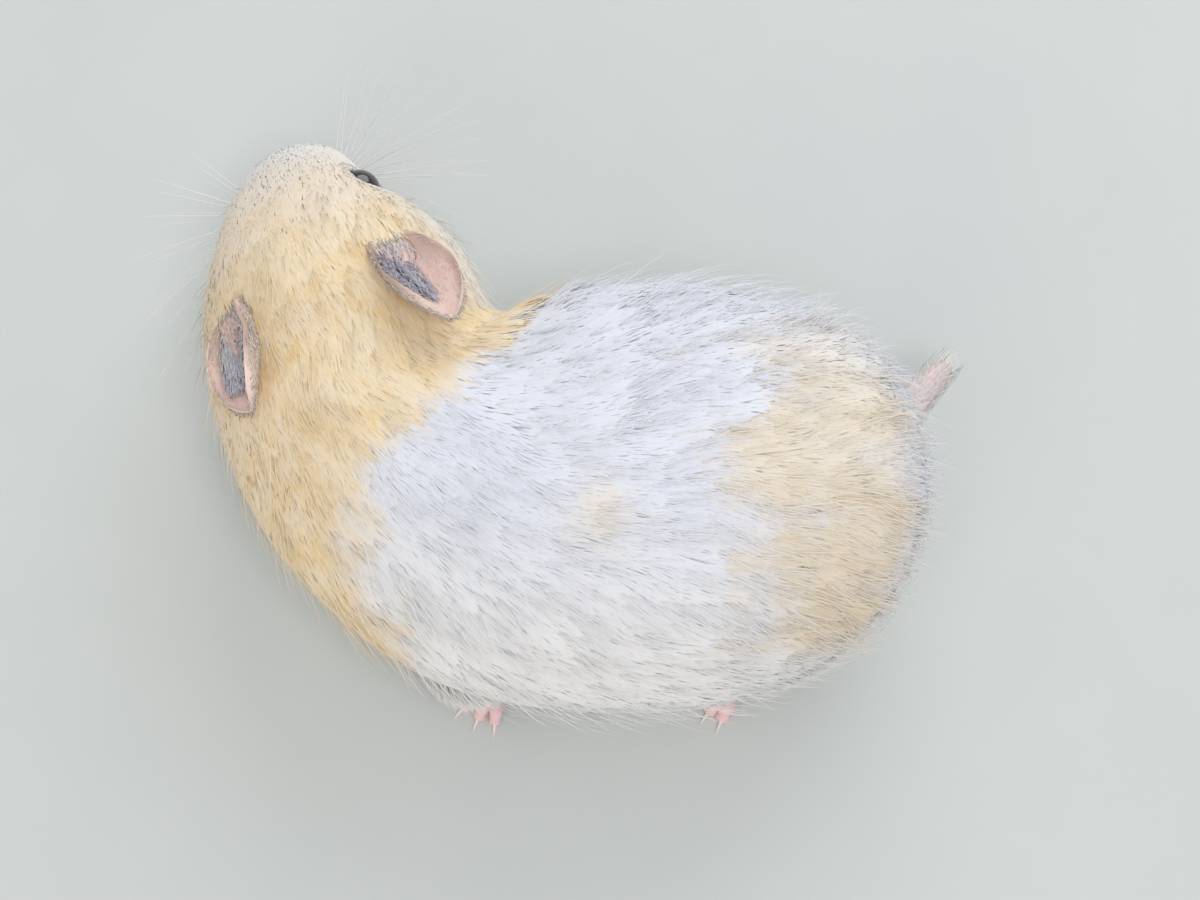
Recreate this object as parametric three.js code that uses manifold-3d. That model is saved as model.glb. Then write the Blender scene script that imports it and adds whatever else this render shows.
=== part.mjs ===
// A life-size still model of a Syrian hamster, crouching on four feet with its head turned to its
// right. Millimetres, +Z up. +X runs forwards along the trunk and +Y is the animal's left. The
// origin is on the floor, under the middle of the whole animal. The solids reach out to the tips
// of the coat: the body is one long loft, parted into head, neck, trunk and rump by thin cuts.
import * as THREE from 'three';
import { ParametricGeometry } from 'three/addons/geometries/ParametricGeometry.js';
import { mergeVertices } from 'three/addons/utils/BufferGeometryUtils.js';
import Module from 'manifold-3d';

const wasm = await Module();
wasm.setup();
const { Manifold } = wasm;

// ---------------------------------------------------------------- driving dimensions
const GAP = 0.3; // clearance between touching solids
const CENTRE = [2.5, -4.9]; // the middle of the whole animal, before it is moved over the origin
const LEG_CLEARANCE = 1.6; // from the floor to the muscle of a leg
const ROUND = { nose: 0.06, rump: 0.17 }; // share of the spine over which each end is rounded off
const BELLY_SAG = 0.1; // how much wider a section is low down than high up
const FACES = { along: 38, around: 26 }; // faces along and round the body
const CROWDING = 0.82; // how closely the faces crowd towards nose and rump, from 0 to 1

// The head's own axes: it is turned right, its crown slopes down forwards, its right side is up.
const HEAD = { nose_tip: [44.0, -44.4, 15.5], yaw: 71, pitch: 15, roll: 14 };

// Head sections: the place of the middle, behind the nose tip and above its level in head axes,
// and how far the section reaches to each side, up and down.
const HEAD_SECTIONS = [
  { name: 'nose', back: 0, lift: 0, left: 6.1, right: 6.0, rise: 4.6, drop: 5.4 },
  { name: 'muzzle', back: 5, lift: 1.0, left: 8.7, right: 8.4, rise: 6.6, drop: 7.2 },
  { name: 'eyes', back: 13, lift: 3.0, left: 12.5, right: 12.0, rise: 9.8, drop: 11.4 },
  { name: 'cheeks', back: 20.5, lift: 3.8, left: 16.4, right: 16.0, rise: 11.8, drop: 14.2 },
  { name: 'ears', back: 28.5, lift: 3.6, left: 19.0, right: 19.2, rise: 12.0, drop: 15.8 },
];
// Sections of the neck and trunk, by the place of their middle. Roll raises the right side.
const TRUNK_SECTIONS = [
  { name: 'nape', at: [31.5, -8.5, 26.2], left: 21.0, right: 20.0, rise: 14.6, drop: 18.0, roll: 8 },
  { name: 'withers', at: [24.5, -1.0, 25.6], left: 24.0, right: 22.6, rise: 17.2, drop: 20.5, roll: 3 },
  { name: 'shoulders', at: [13.5, 4.2, 25.0], left: 27.2, right: 26.2, rise: 20.4, drop: 22.4, roll: 0 },
  { name: 'ribs', at: [0, 5.8, 25.0], left: 28.8, right: 28.4, rise: 23.2, drop: 23.2, roll: 0 },
  { name: 'loin', at: [-14, 5.4, 25.0], left: 28.0, right: 27.8, rise: 24.4, drop: 23.2, roll: 0 },
  { name: 'hips', at: [-27, 4.8, 23.6], left: 23.6, right: 24.2, rise: 22.4, drop: 21.8, roll: 0 },
  { name: 'rump', at: [-36, 4.6, 21.6], left: 21.0, right: 21.2, rise: 18.6, drop: 19.4, roll: 0 },
  { name: 'tail_root', at: [-42.8, 4.6, 19.6], left: 17.4, right: 17.8, rise: 14.6, drop: 16.4, roll: 0 },
];
// Swellings on both sides of the loft. Place and reach count sections back from the nose, angle
// and spread are degrees round from the side (up is positive), and height is in millimetres.
const SWELLINGS = [
  { name: 'whisker_pad', place: 0.85, reach: 0.55, angle: -24, spread: 28, height: 0.9 },
  { name: 'brow', place: 2.1, reach: 0.6, angle: 52, spread: 18, height: 0.5 },
  { name: 'cheek_pouch', place: 3.1, reach: 0.8, angle: -30, spread: 34, height: 1.3 },
  { name: 'shoulder', place: 7.0, reach: 0.8, angle: -22, spread: 30, height: 0.7 },
  { name: 'haunch', place: 9.6, reach: 1.0, angle: -25, spread: 34, height: 1.0 },
];
// Where the body is parted, in sections back from the nose.
const PARTINGS = { nape: 4.8, withers: 6.4, hips: 9.9 };

const EYE = { back: 14.0, out: 9.7, lift: 5.6, radius: 3.3 };
const NOSE_PAD = { back: 0.6, lift: 0.9, radii: [1.7, 2.0, 1.5] };
// Ears: the root's place and the direction of the laid-back blade, in head axes.
const EARS = {
  left: { back: 27.5, out: 9.4, lift: 9.6, lean: { back: 17.3, out: 1.4, up: 5.5 } },
  right: { back: 28.5, out: 10.6, lift: 9.4, lean: { back: 17.0, out: 6.8, up: 5.0 } },
};
const EAR_HOLLOW = { out: 0.55, up: 0.84 }; // which way the hollow of the ear looks
// Arc is half the blade's width, measured round its cup; bend is the angle of that half.
const EAR_BLADE = { length: 19, arc: 6.8, wall: 0.9, bend_at_root: 115, bend: 64 };

const TAIL = { root: [-39.0, -4.0, 17.5], tip: [-48.6, -15.2, 15.0], root_radius: 2.7, tip_radius: 1.9 };

// The muscle of each leg is an ellipsoid sunk in the body, leaning from the upright.
const LEGS = {
  foreleg_left: { at: [17.0, 25.0, 12], radii: [6.4, 6.2, 11], lean: [-0.1, -0.25, 1] },
  foreleg_right: { at: [20.5, -13.5, 12], radii: [6.4, 6.0, 11], lean: [-0.1, 0.25, 1] },
  hindleg_left: { at: [-18.5, 20.6, 13.6], radii: [15, 9.2, 12], lean: [0.18, 0, 1] },
  hindleg_right: { at: [-18.5, -11.2, 13.6], radii: [15, 9.2, 12], lean: [0.18, 0, 1] },
};
// Heel and toe are the ends of the sole on the floor.
const PAW_PLACES = {
  forepaw_left: { heel: [13.5, 25.5], toe: [18.5, 32.6] },
  forepaw_right: { heel: [19.5, -15.5], toe: [25.0, -22.6] },
  hindpaw_left: { heel: [-26, 21], toe: [-12.8, 30.8] },
  hindpaw_right: { heel: [-26, -11], toe: [-12.8, -20.8] },
};
// Toes fan out by so many degrees each; digit is a toe's radius and reach its length.
const PAW_SHAPES = {
  fore: { toes: 4, width: 6.0, height: 4.2, fan: 20, digit: 1.15, reach: 3.4 },
  hind: { toes: 5, width: 6.4, height: 4.6, fan: 15, digit: 1.3, reach: 4.4 },
};
const CLAW = { radius: 0.42, length: 2.0, droop: 0.28 };

const COATS = {
  cream: { color: 0xf0dcb4, roughness: 0.9 },
  white: { color: 0xf3f1ee, roughness: 0.9 },
  skin: { color: 0xe9b9b0, roughness: 0.55 },
  ear: { color: 0xb9a6ae, roughness: 0.6 },
  eye: { color: 0x0c090a, roughness: 0.05 },
};

// ---------------------------------------------------------------- directions and curves
const radians = THREE.MathUtils.degToRad;
const lerp = THREE.MathUtils.lerp;
const vector = (v) => new THREE.Vector3(...v);
const through = (points) => new THREE.CatmullRomCurve3(points, false, 'catmullrom', 0.5);
const UPRIGHT = new THREE.Vector3(0, 0, 1);

const yaw = radians(HEAD.yaw);
const pitch = radians(HEAD.pitch);
const AHEAD = vector([Math.cos(yaw) * Math.cos(pitch), -Math.sin(yaw) * Math.cos(pitch), -Math.sin(pitch)]);
const HEAD_LEFT = vector([Math.sin(yaw), Math.cos(yaw), 0]).applyAxisAngle(AHEAD, -radians(HEAD.roll));
const HEAD_UP = new THREE.Vector3().crossVectors(AHEAD, HEAD_LEFT);

// A step in head axes: backwards, to the head's left, and up.
function inHeadAxes(back, left, up) {
  return new THREE.Vector3()
    .addScaledVector(AHEAD, -back)
    .addScaledVector(HEAD_LEFT, left)
    .addScaledVector(HEAD_UP, up);
}

// A place on the head, stepped off from the nose tip.
function onHead(back, left, lift) {
  return vector(HEAD.nose_tip).add(inHeadAxes(back, left, lift));
}

const SECTIONS = [
  ...HEAD_SECTIONS.map((s) => ({ ...s, at: onHead(s.back, 0, s.lift), roll: HEAD.roll })),
  ...TRUNK_SECTIONS.map((s) => ({ ...s, at: vector(s.at) })),
];
const LAST = SECTIONS.length - 1;
const middles = through(SECTIONS.map((s) => s.at));
const breadths = through(SECTIONS.map((s) => vector([s.left, s.right, s.roll])));
const heights = through(SECTIONS.map((s) => vector([s.rise, s.drop, 0])));

// ---------------------------------------------------------------- solids
// A closed mesh as a solid, turned right side out, with its shared vertices merged.
function solidFrom(geometry) {
  const bare = geometry.clone();
  bare.deleteAttribute('normal');
  bare.deleteAttribute('uv');
  const merged = mergeVertices(bare, 1e-4);
  const wrap = (corners) => new Manifold(new wasm.Mesh({
    numProp: 3,
    vertProperties: merged.attributes.position.array,
    triVerts: corners,
  }));
  const corners = new Uint32Array(merged.index.array);
  const solid = wrap(corners);
  return solid.volume() > 0 ? solid : wrap(corners.reverse());
}

function geometryFrom(solid) {
  const { vertProperties, triVerts } = solid.getMesh();
  const geometry = new THREE.BufferGeometry();
  geometry.setAttribute('position', new THREE.Float32BufferAttribute(vertProperties, 3));
  geometry.setIndex(new THREE.BufferAttribute(triVerts, 1));
  const faceted = geometry.toNonIndexed();
  faceted.computeVertexNormals();
  return faceted;
}

function union(solids) {
  return solids.reduce((whole, next) => whole.add(next));
}

// A closed surface from a function of (along, around), each 0 to 1, with a pole at both ends.
function closedSurface(shape, along, around) {
  return solidFrom(new ParametricGeometry((u, v, target) => {
    target.copy(shape(v, u === 1 ? 0 : u));
  }, around, along));
}

// An ellipsoid with its semi-axes along the given directions.
function ellipsoid(centre, radii, grow = 0, directions = null, detail = [14, 9]) {
  const geometry = new THREE.SphereGeometry(1, ...detail);
  geometry.scale(...radii.map((r) => r + grow));
  if (directions) geometry.applyMatrix4(new THREE.Matrix4().makeBasis(...directions));
  geometry.translate(...centre);
  return solidFrom(geometry);
}

// Turns a shape made along +Y to lie along a direction, with its middle at a place.
function laid(geometry, direction, place) {
  geometry.applyQuaternion(new THREE.Quaternion().setFromUnitVectors(new THREE.Vector3(0, 1, 0), direction));
  geometry.translate(place.x, place.y, place.z);
  return solidFrom(geometry);
}

// ---------------------------------------------------------------- body
// The axes of a section: tangent towards the tail, left and up, rolled by the section's roll.
function axesAt(share) {
  const tangent = middles.getTangent(share);
  const left = new THREE.Vector3().crossVectors(tangent, UPRIGHT).normalize();
  left.applyAxisAngle(tangent, radians(breadths.getPoint(share).z));
  return { tangent, left, up: new THREE.Vector3().crossVectors(left, tangent) };
}

// How full a section is: a quarter ellipse closes the body at each end.
function fullness(share) {
  const fromNose = Math.min(1, share / ROUND.nose);
  const fromRump = Math.min(1, (1 - share) / ROUND.rump);
  return Math.sqrt(1 - (1 - fromNose) ** 2) * Math.sqrt(1 - (1 - fromRump) ** 2);
}

// How far the swellings stand out at a share of the spine and a turn round it.
function swelling(share, turn) {
  const round = 2 * Math.PI * turn;
  const fromSide = THREE.MathUtils.radToDeg(Math.atan2(Math.sin(round), Math.abs(Math.cos(round))));
  return SWELLINGS.reduce((sum, { place, reach, angle, spread, height }) => {
    const away = ((share * LAST - place) / reach) ** 2 + ((fromSide - angle) / spread) ** 2;
    return sum + height * Math.exp(-away);
  }, 0);
}

// The body's surface: step runs from nose to rump, and turn from the left side up and over.
function bodySurface(step, turn, grow) {
  const share = step - CROWDING * Math.sin(2 * Math.PI * step) / (2 * Math.PI);
  const { left, up } = axesAt(share);
  const { x: toLeft, y: toRight } = breadths.getPoint(share);
  const { x: rise, y: drop } = heights.getPoint(share);
  const across = Math.cos(2 * Math.PI * turn);
  const high = Math.sin(2 * Math.PI * turn);
  const sag = 1 - BELLY_SAG * high * Math.min(1, share * 2);
  const extra = grow + swelling(share, turn);
  const full = fullness(share);
  return middles.getPoint(share)
    .addScaledVector(left, ((across > 0 ? toLeft : toRight) + extra) * full * across * sag)
    .addScaledVector(up, ((high > 0 ? rise : drop) + extra) * full * high);
}

function bodySolid(grow = 0) {
  return closedSurface((step, turn) => bodySurface(step, turn, grow), FACES.along, FACES.around);
}

// A thin disc across the spine, wider than the body.
function partingDisc(place) {
  const share = place / LAST;
  const { x: toLeft, y: toRight } = breadths.getPoint(share);
  const radius = Math.max(toLeft, toRight) * (1 + BELLY_SAG) + 2;
  const disc = new THREE.CylinderGeometry(radius, radius, GAP, 28);
  return laid(disc, axesAt(share).tangent, middles.getPoint(share));
}

// ---------------------------------------------------------------- eyes, nose and ears
function eyeball(side, grow = 0) {
  const centre = onHead(EYE.back, side * EYE.out, EYE.lift);
  return ellipsoid(centre.toArray(), [EYE.radius, EYE.radius, EYE.radius], grow);
}

function nosePad(grow = 0) {
  const { back, lift, radii } = NOSE_PAD;
  return ellipsoid(onHead(back, 0, lift).toArray(), radii, grow, [AHEAD, HEAD_LEFT, HEAD_UP], [10, 8]);
}

// A pinna: a rounded blade cupped about its length, with its hollow side up, in a thin wall.
function earSolid(side, { back, out, lift, lean }) {
  const root = onHead(back, side * out, lift);
  const along = inHeadAxes(lean.back, side * lean.out, lean.up).normalize();
  const hollow = inHeadAxes(0, side * EAR_HOLLOW.out, EAR_HOLLOW.up);
  hollow.addScaledVector(along, -hollow.dot(along)).normalize();
  const across = new THREE.Vector3().crossVectors(hollow, along);
  const { length, arc, wall, bend_at_root: rootBend, bend } = EAR_BLADE;
  return closedSurface((step, turn) => {
    const way = (1 - Math.cos(Math.PI * step)) / 2;
    const open = step === 0 || step === 1 ? 0 : 1;
    const halfArc = arc * Math.sin(Math.PI * (0.14 + 0.86 * way)) ** 0.5;
    const spread = radians(lerp(rootBend, bend, Math.min(1, 2 * way)));
    const angle = spread * Math.cos(2 * Math.PI * turn);
    const outside = wall / 2 * Math.sin(2 * Math.PI * turn) * Math.min(1, 4 * (1 - way) + 0.6);
    const radius = halfArc / spread - outside;
    return root.clone()
      .addScaledVector(along, way * length)
      .addScaledVector(across, open * radius * Math.sin(angle))
      .addScaledVector(hollow, open * (halfArc / spread - radius * Math.cos(angle)));
  }, 10, 16);
}

// ---------------------------------------------------------------- tail, legs and paws
// The tail: a short blunt rod, closed by a high power of the way along it.
function tailSolid() {
  const root = vector(TAIL.root);
  const along = vector(TAIL.tip).sub(root);
  const side = new THREE.Vector3().crossVectors(along, UPRIGHT).normalize();
  const up = new THREE.Vector3().crossVectors(side, along).normalize();
  return closedSurface((step, turn) => {
    const way = (1 - Math.cos(Math.PI * step)) / 2;
    const radius = lerp(TAIL.root_radius, TAIL.tip_radius, way) * Math.sqrt(1 - (2 * way - 1) ** 6);
    return root.clone()
      .addScaledVector(along, way)
      .addScaledVector(side, radius * Math.cos(2 * Math.PI * turn))
      .addScaledVector(up, radius * Math.sin(2 * Math.PI * turn));
  }, 8, 10);
}

function legSolid({ at, radii, lean }, grow = 0) {
  const up = vector(lean).normalize();
  const side = new THREE.Vector3().crossVectors(up, new THREE.Vector3(1, 0, 0)).normalize();
  const front = new THREE.Vector3().crossVectors(side, up);
  return ellipsoid(at, radii, grow, [front, side, up]);
}

// One toe with its claw: it starts at the knuckle and reaches along a heading.
function toeSolid(knuckle, heading, radius, reach) {
  const middle = knuckle.clone().addScaledVector(heading, reach / 2);
  const toe = laid(new THREE.CapsuleGeometry(radius, reach, 2, 6), heading, middle);
  const drooping = heading.clone().setZ(-CLAW.droop).normalize();
  const root = knuckle.clone()
    .addScaledVector(heading, reach + radius * 0.9)
    .addScaledVector(drooping, CLAW.length * 0.3)
    .addScaledVector(UPRIGHT, CLAW.radius * 0.6);
  return toe.add(laid(new THREE.ConeGeometry(CLAW.radius, CLAW.length, 5), drooping, root));
}

// A paw: a flattened palm or heel, and toes fanned out from its front edge.
function pawSolid({ heel, toe }, { toes, width, height, fan, digit, reach }) {
  const from = vector([...heel, 0]);
  const to = vector([...toe, 0]);
  const heading = to.clone().sub(from).normalize();
  const side = new THREE.Vector3().crossVectors(UPRIGHT, heading);
  const sole = from.distanceTo(to) - reach;
  const palmMiddle = from.clone().addScaledVector(heading, sole / 2).setZ(height * 0.38);
  const palmRadii = [sole / 2 + 0.8, width / 2, height * 0.62];
  const palm = ellipsoid(palmMiddle.toArray(), palmRadii, 0, [heading, side, UPRIGHT], [12, 7]);
  const digits = Array.from({ length: toes }, (_, i) => {
    const place = i - (toes - 1) / 2;
    const knuckle = from.clone()
      .addScaledVector(heading, sole - 0.6)
      .addScaledVector(side, place * width * 0.8 / toes)
      .setZ(digit * 0.75);
    const way = heading.clone().applyAxisAngle(UPRIGHT, radians(place * fan));
    return toeSolid(knuckle, way, digit, reach * (1 - 0.09 * Math.abs(place)));
  });
  return union([palm, ...digits]);
}

// ---------------------------------------------------------------- assembly
const SIDES = { left: 1, right: -1 };
const ground = solidFrom(new THREE.BoxGeometry(300, 300, 40).translate(0, 0, -20));
const underLegs = ground.translate([0, 0, LEG_CLEARANCE]);
const aroundBody = bodySolid(GAP);
const pieces = {};
let body = bodySolid();

for (const [name, side] of Object.entries(SIDES)) {
  pieces['eye_' + name] = [eyeball(side), 'eye'];
  body = body.subtract(eyeball(side, GAP));
  pieces['ear_' + name] = [earSolid(side, EARS[name]).subtract(aroundBody), 'ear'];
}
pieces.nose = [nosePad(), 'skin'];
body = body.subtract(nosePad(GAP));
pieces.tail = [tailSolid().subtract(aroundBody), 'skin'];

for (const [name, leg] of Object.entries(LEGS)) {
  const [pair, side] = name.split('leg_');
  const paw = pair + 'paw_' + side;
  pieces[name] = [legSolid(leg).subtract(underLegs), pair === 'hind' ? 'cream' : 'white'];
  body = body.subtract(legSolid(leg, GAP));
  const clear = aroundBody.add(legSolid(leg, GAP));
  pieces[paw] = [pawSolid(PAW_PLACES[paw], PAW_SHAPES[pair]).subtract(clear).subtract(ground), 'skin'];
}

// The body is parted, and its four lengths are told apart by how far they lie from the nose.
for (const place of Object.values(PARTINGS)) body = body.subtract(partingDisc(place));
const fromNose = (solid) => {
  const { min, max } = solid.boundingBox();
  return vector(min).add(vector(max)).multiplyScalar(0.5).distanceTo(vector(HEAD.nose_tip));
};
const LENGTHS = { head: 'cream', neck: 'white', trunk: 'white', rump: 'cream' };
const lengths = body.decompose().sort((a, b) => b.volume() - a.volume()).slice(0, 4);
lengths.sort((a, b) => fromNose(a) - fromNose(b));
Object.entries(LENGTHS).forEach(([name, coat], i) => {
  pieces[name] = [lengths[i], coat];
});

// Slivers that a cut leaves beside a piece are dropped: only its largest body is kept.
const hamster = new THREE.Group();
for (const [name, [solid, coat]] of Object.entries(pieces)) {
  const largest = solid.decompose().sort((a, b) => b.volume() - a.volume())[0];
  const material = new THREE.MeshStandardMaterial({ metalness: 0, ...COATS[coat] });
  const mesh = new THREE.Mesh(geometryFrom(largest), material);
  mesh.name = name;
  hamster.add(mesh);
}
hamster.position.set(-CENTRE[0], -CENTRE[1], 0);

export default hamster;
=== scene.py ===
import bpy
import numpy as np
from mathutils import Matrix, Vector


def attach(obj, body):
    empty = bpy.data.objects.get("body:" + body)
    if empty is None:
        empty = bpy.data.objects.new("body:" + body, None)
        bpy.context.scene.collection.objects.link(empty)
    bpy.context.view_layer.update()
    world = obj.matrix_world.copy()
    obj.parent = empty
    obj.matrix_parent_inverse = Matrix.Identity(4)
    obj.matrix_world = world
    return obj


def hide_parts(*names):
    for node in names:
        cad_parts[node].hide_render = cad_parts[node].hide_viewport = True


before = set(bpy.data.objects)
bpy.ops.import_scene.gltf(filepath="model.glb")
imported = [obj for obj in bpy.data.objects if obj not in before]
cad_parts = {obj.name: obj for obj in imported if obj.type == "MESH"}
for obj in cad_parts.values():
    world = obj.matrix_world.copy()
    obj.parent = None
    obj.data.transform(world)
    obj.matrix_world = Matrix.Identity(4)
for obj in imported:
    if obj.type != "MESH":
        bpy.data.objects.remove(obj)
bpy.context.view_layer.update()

# ---------------------------------------------------------------- form of the body
# Head, neck and trunk are one rounded body, bent to the right at the neck. It is a row of
# sections along the spine, and its outside is where the tips of the coat end.
CENTRE = np.array([2.5, -4.9, 0.0])
NOSE_TIP = np.array([44.0, -44.4, 15.5])
YAW, PITCH, ROLL = np.radians([71, 15, 14])
UPRIGHT = np.array([0.0, 0.0, 1.0])


def turned(vectors, axis, angle):
    """Vectors turned about unit axes: the part along the axis stays, the rest goes round it."""
    angle = np.asarray(angle)[..., None]
    along = axis * (vectors * axis).sum(-1, keepdims=True)
    return along + (vectors - along) * np.cos(angle) + np.cross(axis, vectors) * np.sin(angle)


def unit(vectors):
    """Vectors brought to length 1."""
    return vectors / np.maximum(np.linalg.norm(vectors, axis=-1, keepdims=True), 1e-12)


def ramp(start, end, value):
    """0 at start and 1 at end, level at both: 3 t^2 - 2 t^3 of the way between them."""
    t = np.clip((value - start) / (end - start), 0, 1)
    return t * t * (3 - 2 * t)


AHEAD = np.array([np.cos(YAW) * np.cos(PITCH), -np.sin(YAW) * np.cos(PITCH), -np.sin(PITCH)])
HEAD_LEFT = turned(np.array([np.sin(YAW), np.cos(YAW), 0.0]), AHEAD, -ROLL)
HEAD_UP = np.cross(AHEAD, HEAD_LEFT)


def head_step(back, left, up):
    """A step in the head's own axes, as a vector."""
    return -AHEAD * back + HEAD_LEFT * left + HEAD_UP * up


# Behind the nose tip, above its level, then the reach of the section: left, right, up and down.
HEAD_SECTIONS = [
    (0, 0, 6.1, 6.0, 4.6, 5.4),
    (5, 1.0, 8.7, 8.4, 6.6, 7.2),
    (13, 3.0, 12.5, 12.0, 9.8, 11.4),
    (20.5, 3.8, 16.4, 16.0, 11.8, 14.2),
    (28.5, 3.6, 19.0, 19.2, 12.0, 15.8),
]
# Place of the middle, reach to the left, right, up and down, and roll in degrees.
TRUNK_SECTIONS = [
    (31.5, -8.5, 26.2, 21.0, 20.0, 14.6, 18.0, 8),
    (24.5, -1.0, 25.6, 24.0, 22.6, 17.2, 20.5, 3),
    (13.5, 4.2, 25.0, 27.2, 26.2, 20.4, 22.4, 0),
    (0, 5.8, 25.0, 28.8, 28.4, 23.2, 23.2, 0),
    (-14, 5.4, 25.0, 28.0, 27.8, 24.4, 23.2, 0),
    (-27, 4.8, 23.6, 23.6, 24.2, 22.4, 21.8, 0),
    (-36, 4.6, 21.6, 21.0, 21.2, 18.6, 19.4, 0),
    (-42.8, 4.6, 19.6, 17.4, 17.8, 14.6, 16.4, 0),
]
HEAD_ROWS = [
    (*(NOSE_TIP + head_step(back, 0, lift)), *reach, np.degrees(ROLL))
    for back, lift, *reach in HEAD_SECTIONS
]
SECTIONS = np.array(HEAD_ROWS + TRUNK_SECTIONS, float)
LAST = len(SECTIONS) - 1
# Whisker pad, brow, cheek pouch, shoulder and haunch: place, reach, angle, spread and height.
SWELLINGS = [
    (0.85, 0.55, -24, 28, 0.9),
    (2.1, 0.6, 52, 18, 0.5),
    (3.1, 0.8, -30, 34, 1.3),
    (7.0, 0.8, -22, 30, 0.7),
    (9.6, 1.0, -25, 34, 1.0),
]
ROUND_NOSE, ROUND_RUMP, BELLY_SAG = 0.06, 0.17, 0.1


def through(rows, share):
    """A smooth curve through rows of values: on each stretch a cubic that leaves both its ends
    along the line between their neighbours."""
    rows = np.vstack([2 * rows[0] - rows[1], rows, 2 * rows[-1] - rows[-2]])
    at = np.clip(share, 0, 1) * (len(rows) - 3)
    i = np.minimum(at.astype(int), len(rows) - 4)
    t = (at - i)[..., None]
    a, b, c, d = rows[i], rows[i + 1], rows[i + 2], rows[i + 3]
    return b + 0.5 * t * (c - a + t * (2 * a - 5 * b + 4 * c - d + t * (3 * b - a - 3 * c + d)))


def spine_at(share):
    """Middle, direction towards the tail, left, up and the four reaches at shares of the spine."""
    values = through(SECTIONS, share)
    behind = through(SECTIONS[:, :3], np.minimum(share + 1e-4, 1))
    tangent = unit(behind - through(SECTIONS[:, :3], np.maximum(share - 1e-4, 0)))
    left = unit(np.cross(tangent, UPRIGHT))
    left = turned(left, tangent, np.radians(values[..., 7]))
    return values[..., :3], tangent, left, np.cross(left, tangent), values[..., 3:7]


def body_form(share, turn):
    """Places on the outside of the body. Each section is four quarter ellipses, wider low down,
    with the swellings added as bell curves, and a quarter ellipse along the spine closes each
    end. Turn goes from the left side up, over the back and round."""
    middle, _, left, up, reach = spine_at(share)
    across, high = np.cos(2 * np.pi * turn), np.sin(2 * np.pi * turn)
    from_side = np.degrees(np.arctan2(high, np.abs(across)))
    extra = sum(
        height * np.exp(-(((share * LAST - place) / length) ** 2) - ((from_side - angle) / spread) ** 2)
        for place, length, angle, spread, height in SWELLINGS
    )
    nose = np.sqrt(1 - (1 - np.minimum(1, share / ROUND_NOSE)) ** 2)
    rump = np.sqrt(np.maximum(0, 1 - (1 - np.minimum(1, (1 - share) / ROUND_RUMP)) ** 2))
    wide = (np.where(across > 0, reach[..., 0], reach[..., 1]) + extra) * nose * rump
    tall = (np.where(high > 0, reach[..., 2], reach[..., 3]) + extra) * nose * rump
    wide = wide * (1 - BELLY_SAG * high * np.minimum(1, share * 2))
    return middle + left * (wide * across)[..., None] + up * (tall * high)[..., None]


def slopes(form, way, across, step, side_step):
    """How far the places of a form move over a step to each side in each of its two numbers."""
    along = form(np.minimum(way + step, 1), across) - form(np.maximum(way - step, 0), across)
    return along, form(way, across + side_step) - form(way, across - side_step)


def body_normals(share, turn):
    """Unit vectors out of the body: across the two directions that run along its surface. The
    step along it is long where the neck bends, so that the crease there stays smooth."""
    share = np.clip(share, 4e-4, 1 - 4e-4)
    step = np.interp(share * LAST, [0.3, 2.0, 10.5, 11.8], [2e-4, 0.015, 0.015, 2e-4])
    return unit(np.cross(*slopes(body_form, share, turn, step, 1e-3)))


SPINE_SHARES = np.linspace(0, 1, 241)
SPINE_MIDDLES = through(SECTIONS[:, :3], SPINE_SHARES)


def on_spine(points):
    """For any points, the place along the spine in sections from the nose, the degrees round from
    the middle of the back, positive to the right, and how far out of the form, 1 at its surface."""
    flat = points.reshape(-1, 3)
    away = (SPINE_MIDDLES**2).sum(1) - 2 * flat @ SPINE_MIDDLES.T
    share = SPINE_SHARES[away.argmin(1)]
    middle, tangent, *_ = spine_at(share)
    length = np.linalg.norm(SPINE_MIDDLES[1:] - SPINE_MIDDLES[:-1], axis=1).sum()
    share = np.clip(share + ((flat - middle) * tangent).sum(1) / length * 0.8, 0, 1)
    middle, _, left, up, reach = spine_at(share)
    across, high = ((flat - middle) * left).sum(1), ((flat - middle) * up).sum(1)
    across = across / np.where(across > 0, reach[:, 0], reach[:, 1])
    high = high / np.where(high > 0, reach[:, 2], reach[:, 3])
    shape = points.shape[:-1]
    angle = np.degrees(np.arctan2(-across, high))
    return (share * LAST).reshape(shape), angle.reshape(shape), np.hypot(across, high).reshape(shape)


def angle_at(turn):
    """The degrees that on_spine gives, for a turn."""
    return (turn * 360 + 90) % 360 - 180


def coat_depth(place, angle):
    """How deep the coat lies on the skin: hardly anything at the nose, and least under the belly."""
    depth = np.interp(
        place, [0, 0.4, 1.2, 2.4, 3.6, 5.0, 6.5, 12.0], [0.12, 0.18, 0.28, 0.45, 0.6, 0.75, 0.85, 0.9]
    )
    return depth * (1 - 0.4 * ramp(105, 150, np.abs(angle)))


# ---------------------------------------------------------------- face
# The bare nose pad with its two slit nostrils, the cleft from it down to the mouth, the lips that
# carry the whiskers, the chin, and the sockets that the eyes sit in. All are folds of the skin.
EYE = dict(back=14.0, out=9.1, lift=5.1, radius=3.15)
EYE_LOOKS = dict(back=-0.3, out=0.84, up=0.46)


def in_head_axes(points):
    """How far points lie behind the nose tip, to the head's left and above."""
    away = points - NOSE_TIP
    return -(away @ AHEAD), away @ HEAD_LEFT, away @ HEAD_UP


def eye_middle(side):
    """The middle of an eye: side is 1 for the left one and -1 for the right."""
    return NOSE_TIP + head_step(EYE["back"], side * EYE["out"], EYE["lift"])


def eye_axis(side):
    """The way an eye looks: out, up and a little ahead."""
    return unit(head_step(EYE_LOOKS["back"], side * EYE_LOOKS["out"], EYE_LOOKS["up"]))


def round_eye(points, side):
    """How far points lie from the line that an eye looks along, and how far out along it."""
    away = points - eye_middle(side)
    out = away @ eye_axis(side)
    return np.sqrt(np.maximum(0, (away**2).sum(-1) - out**2)), out


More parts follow.
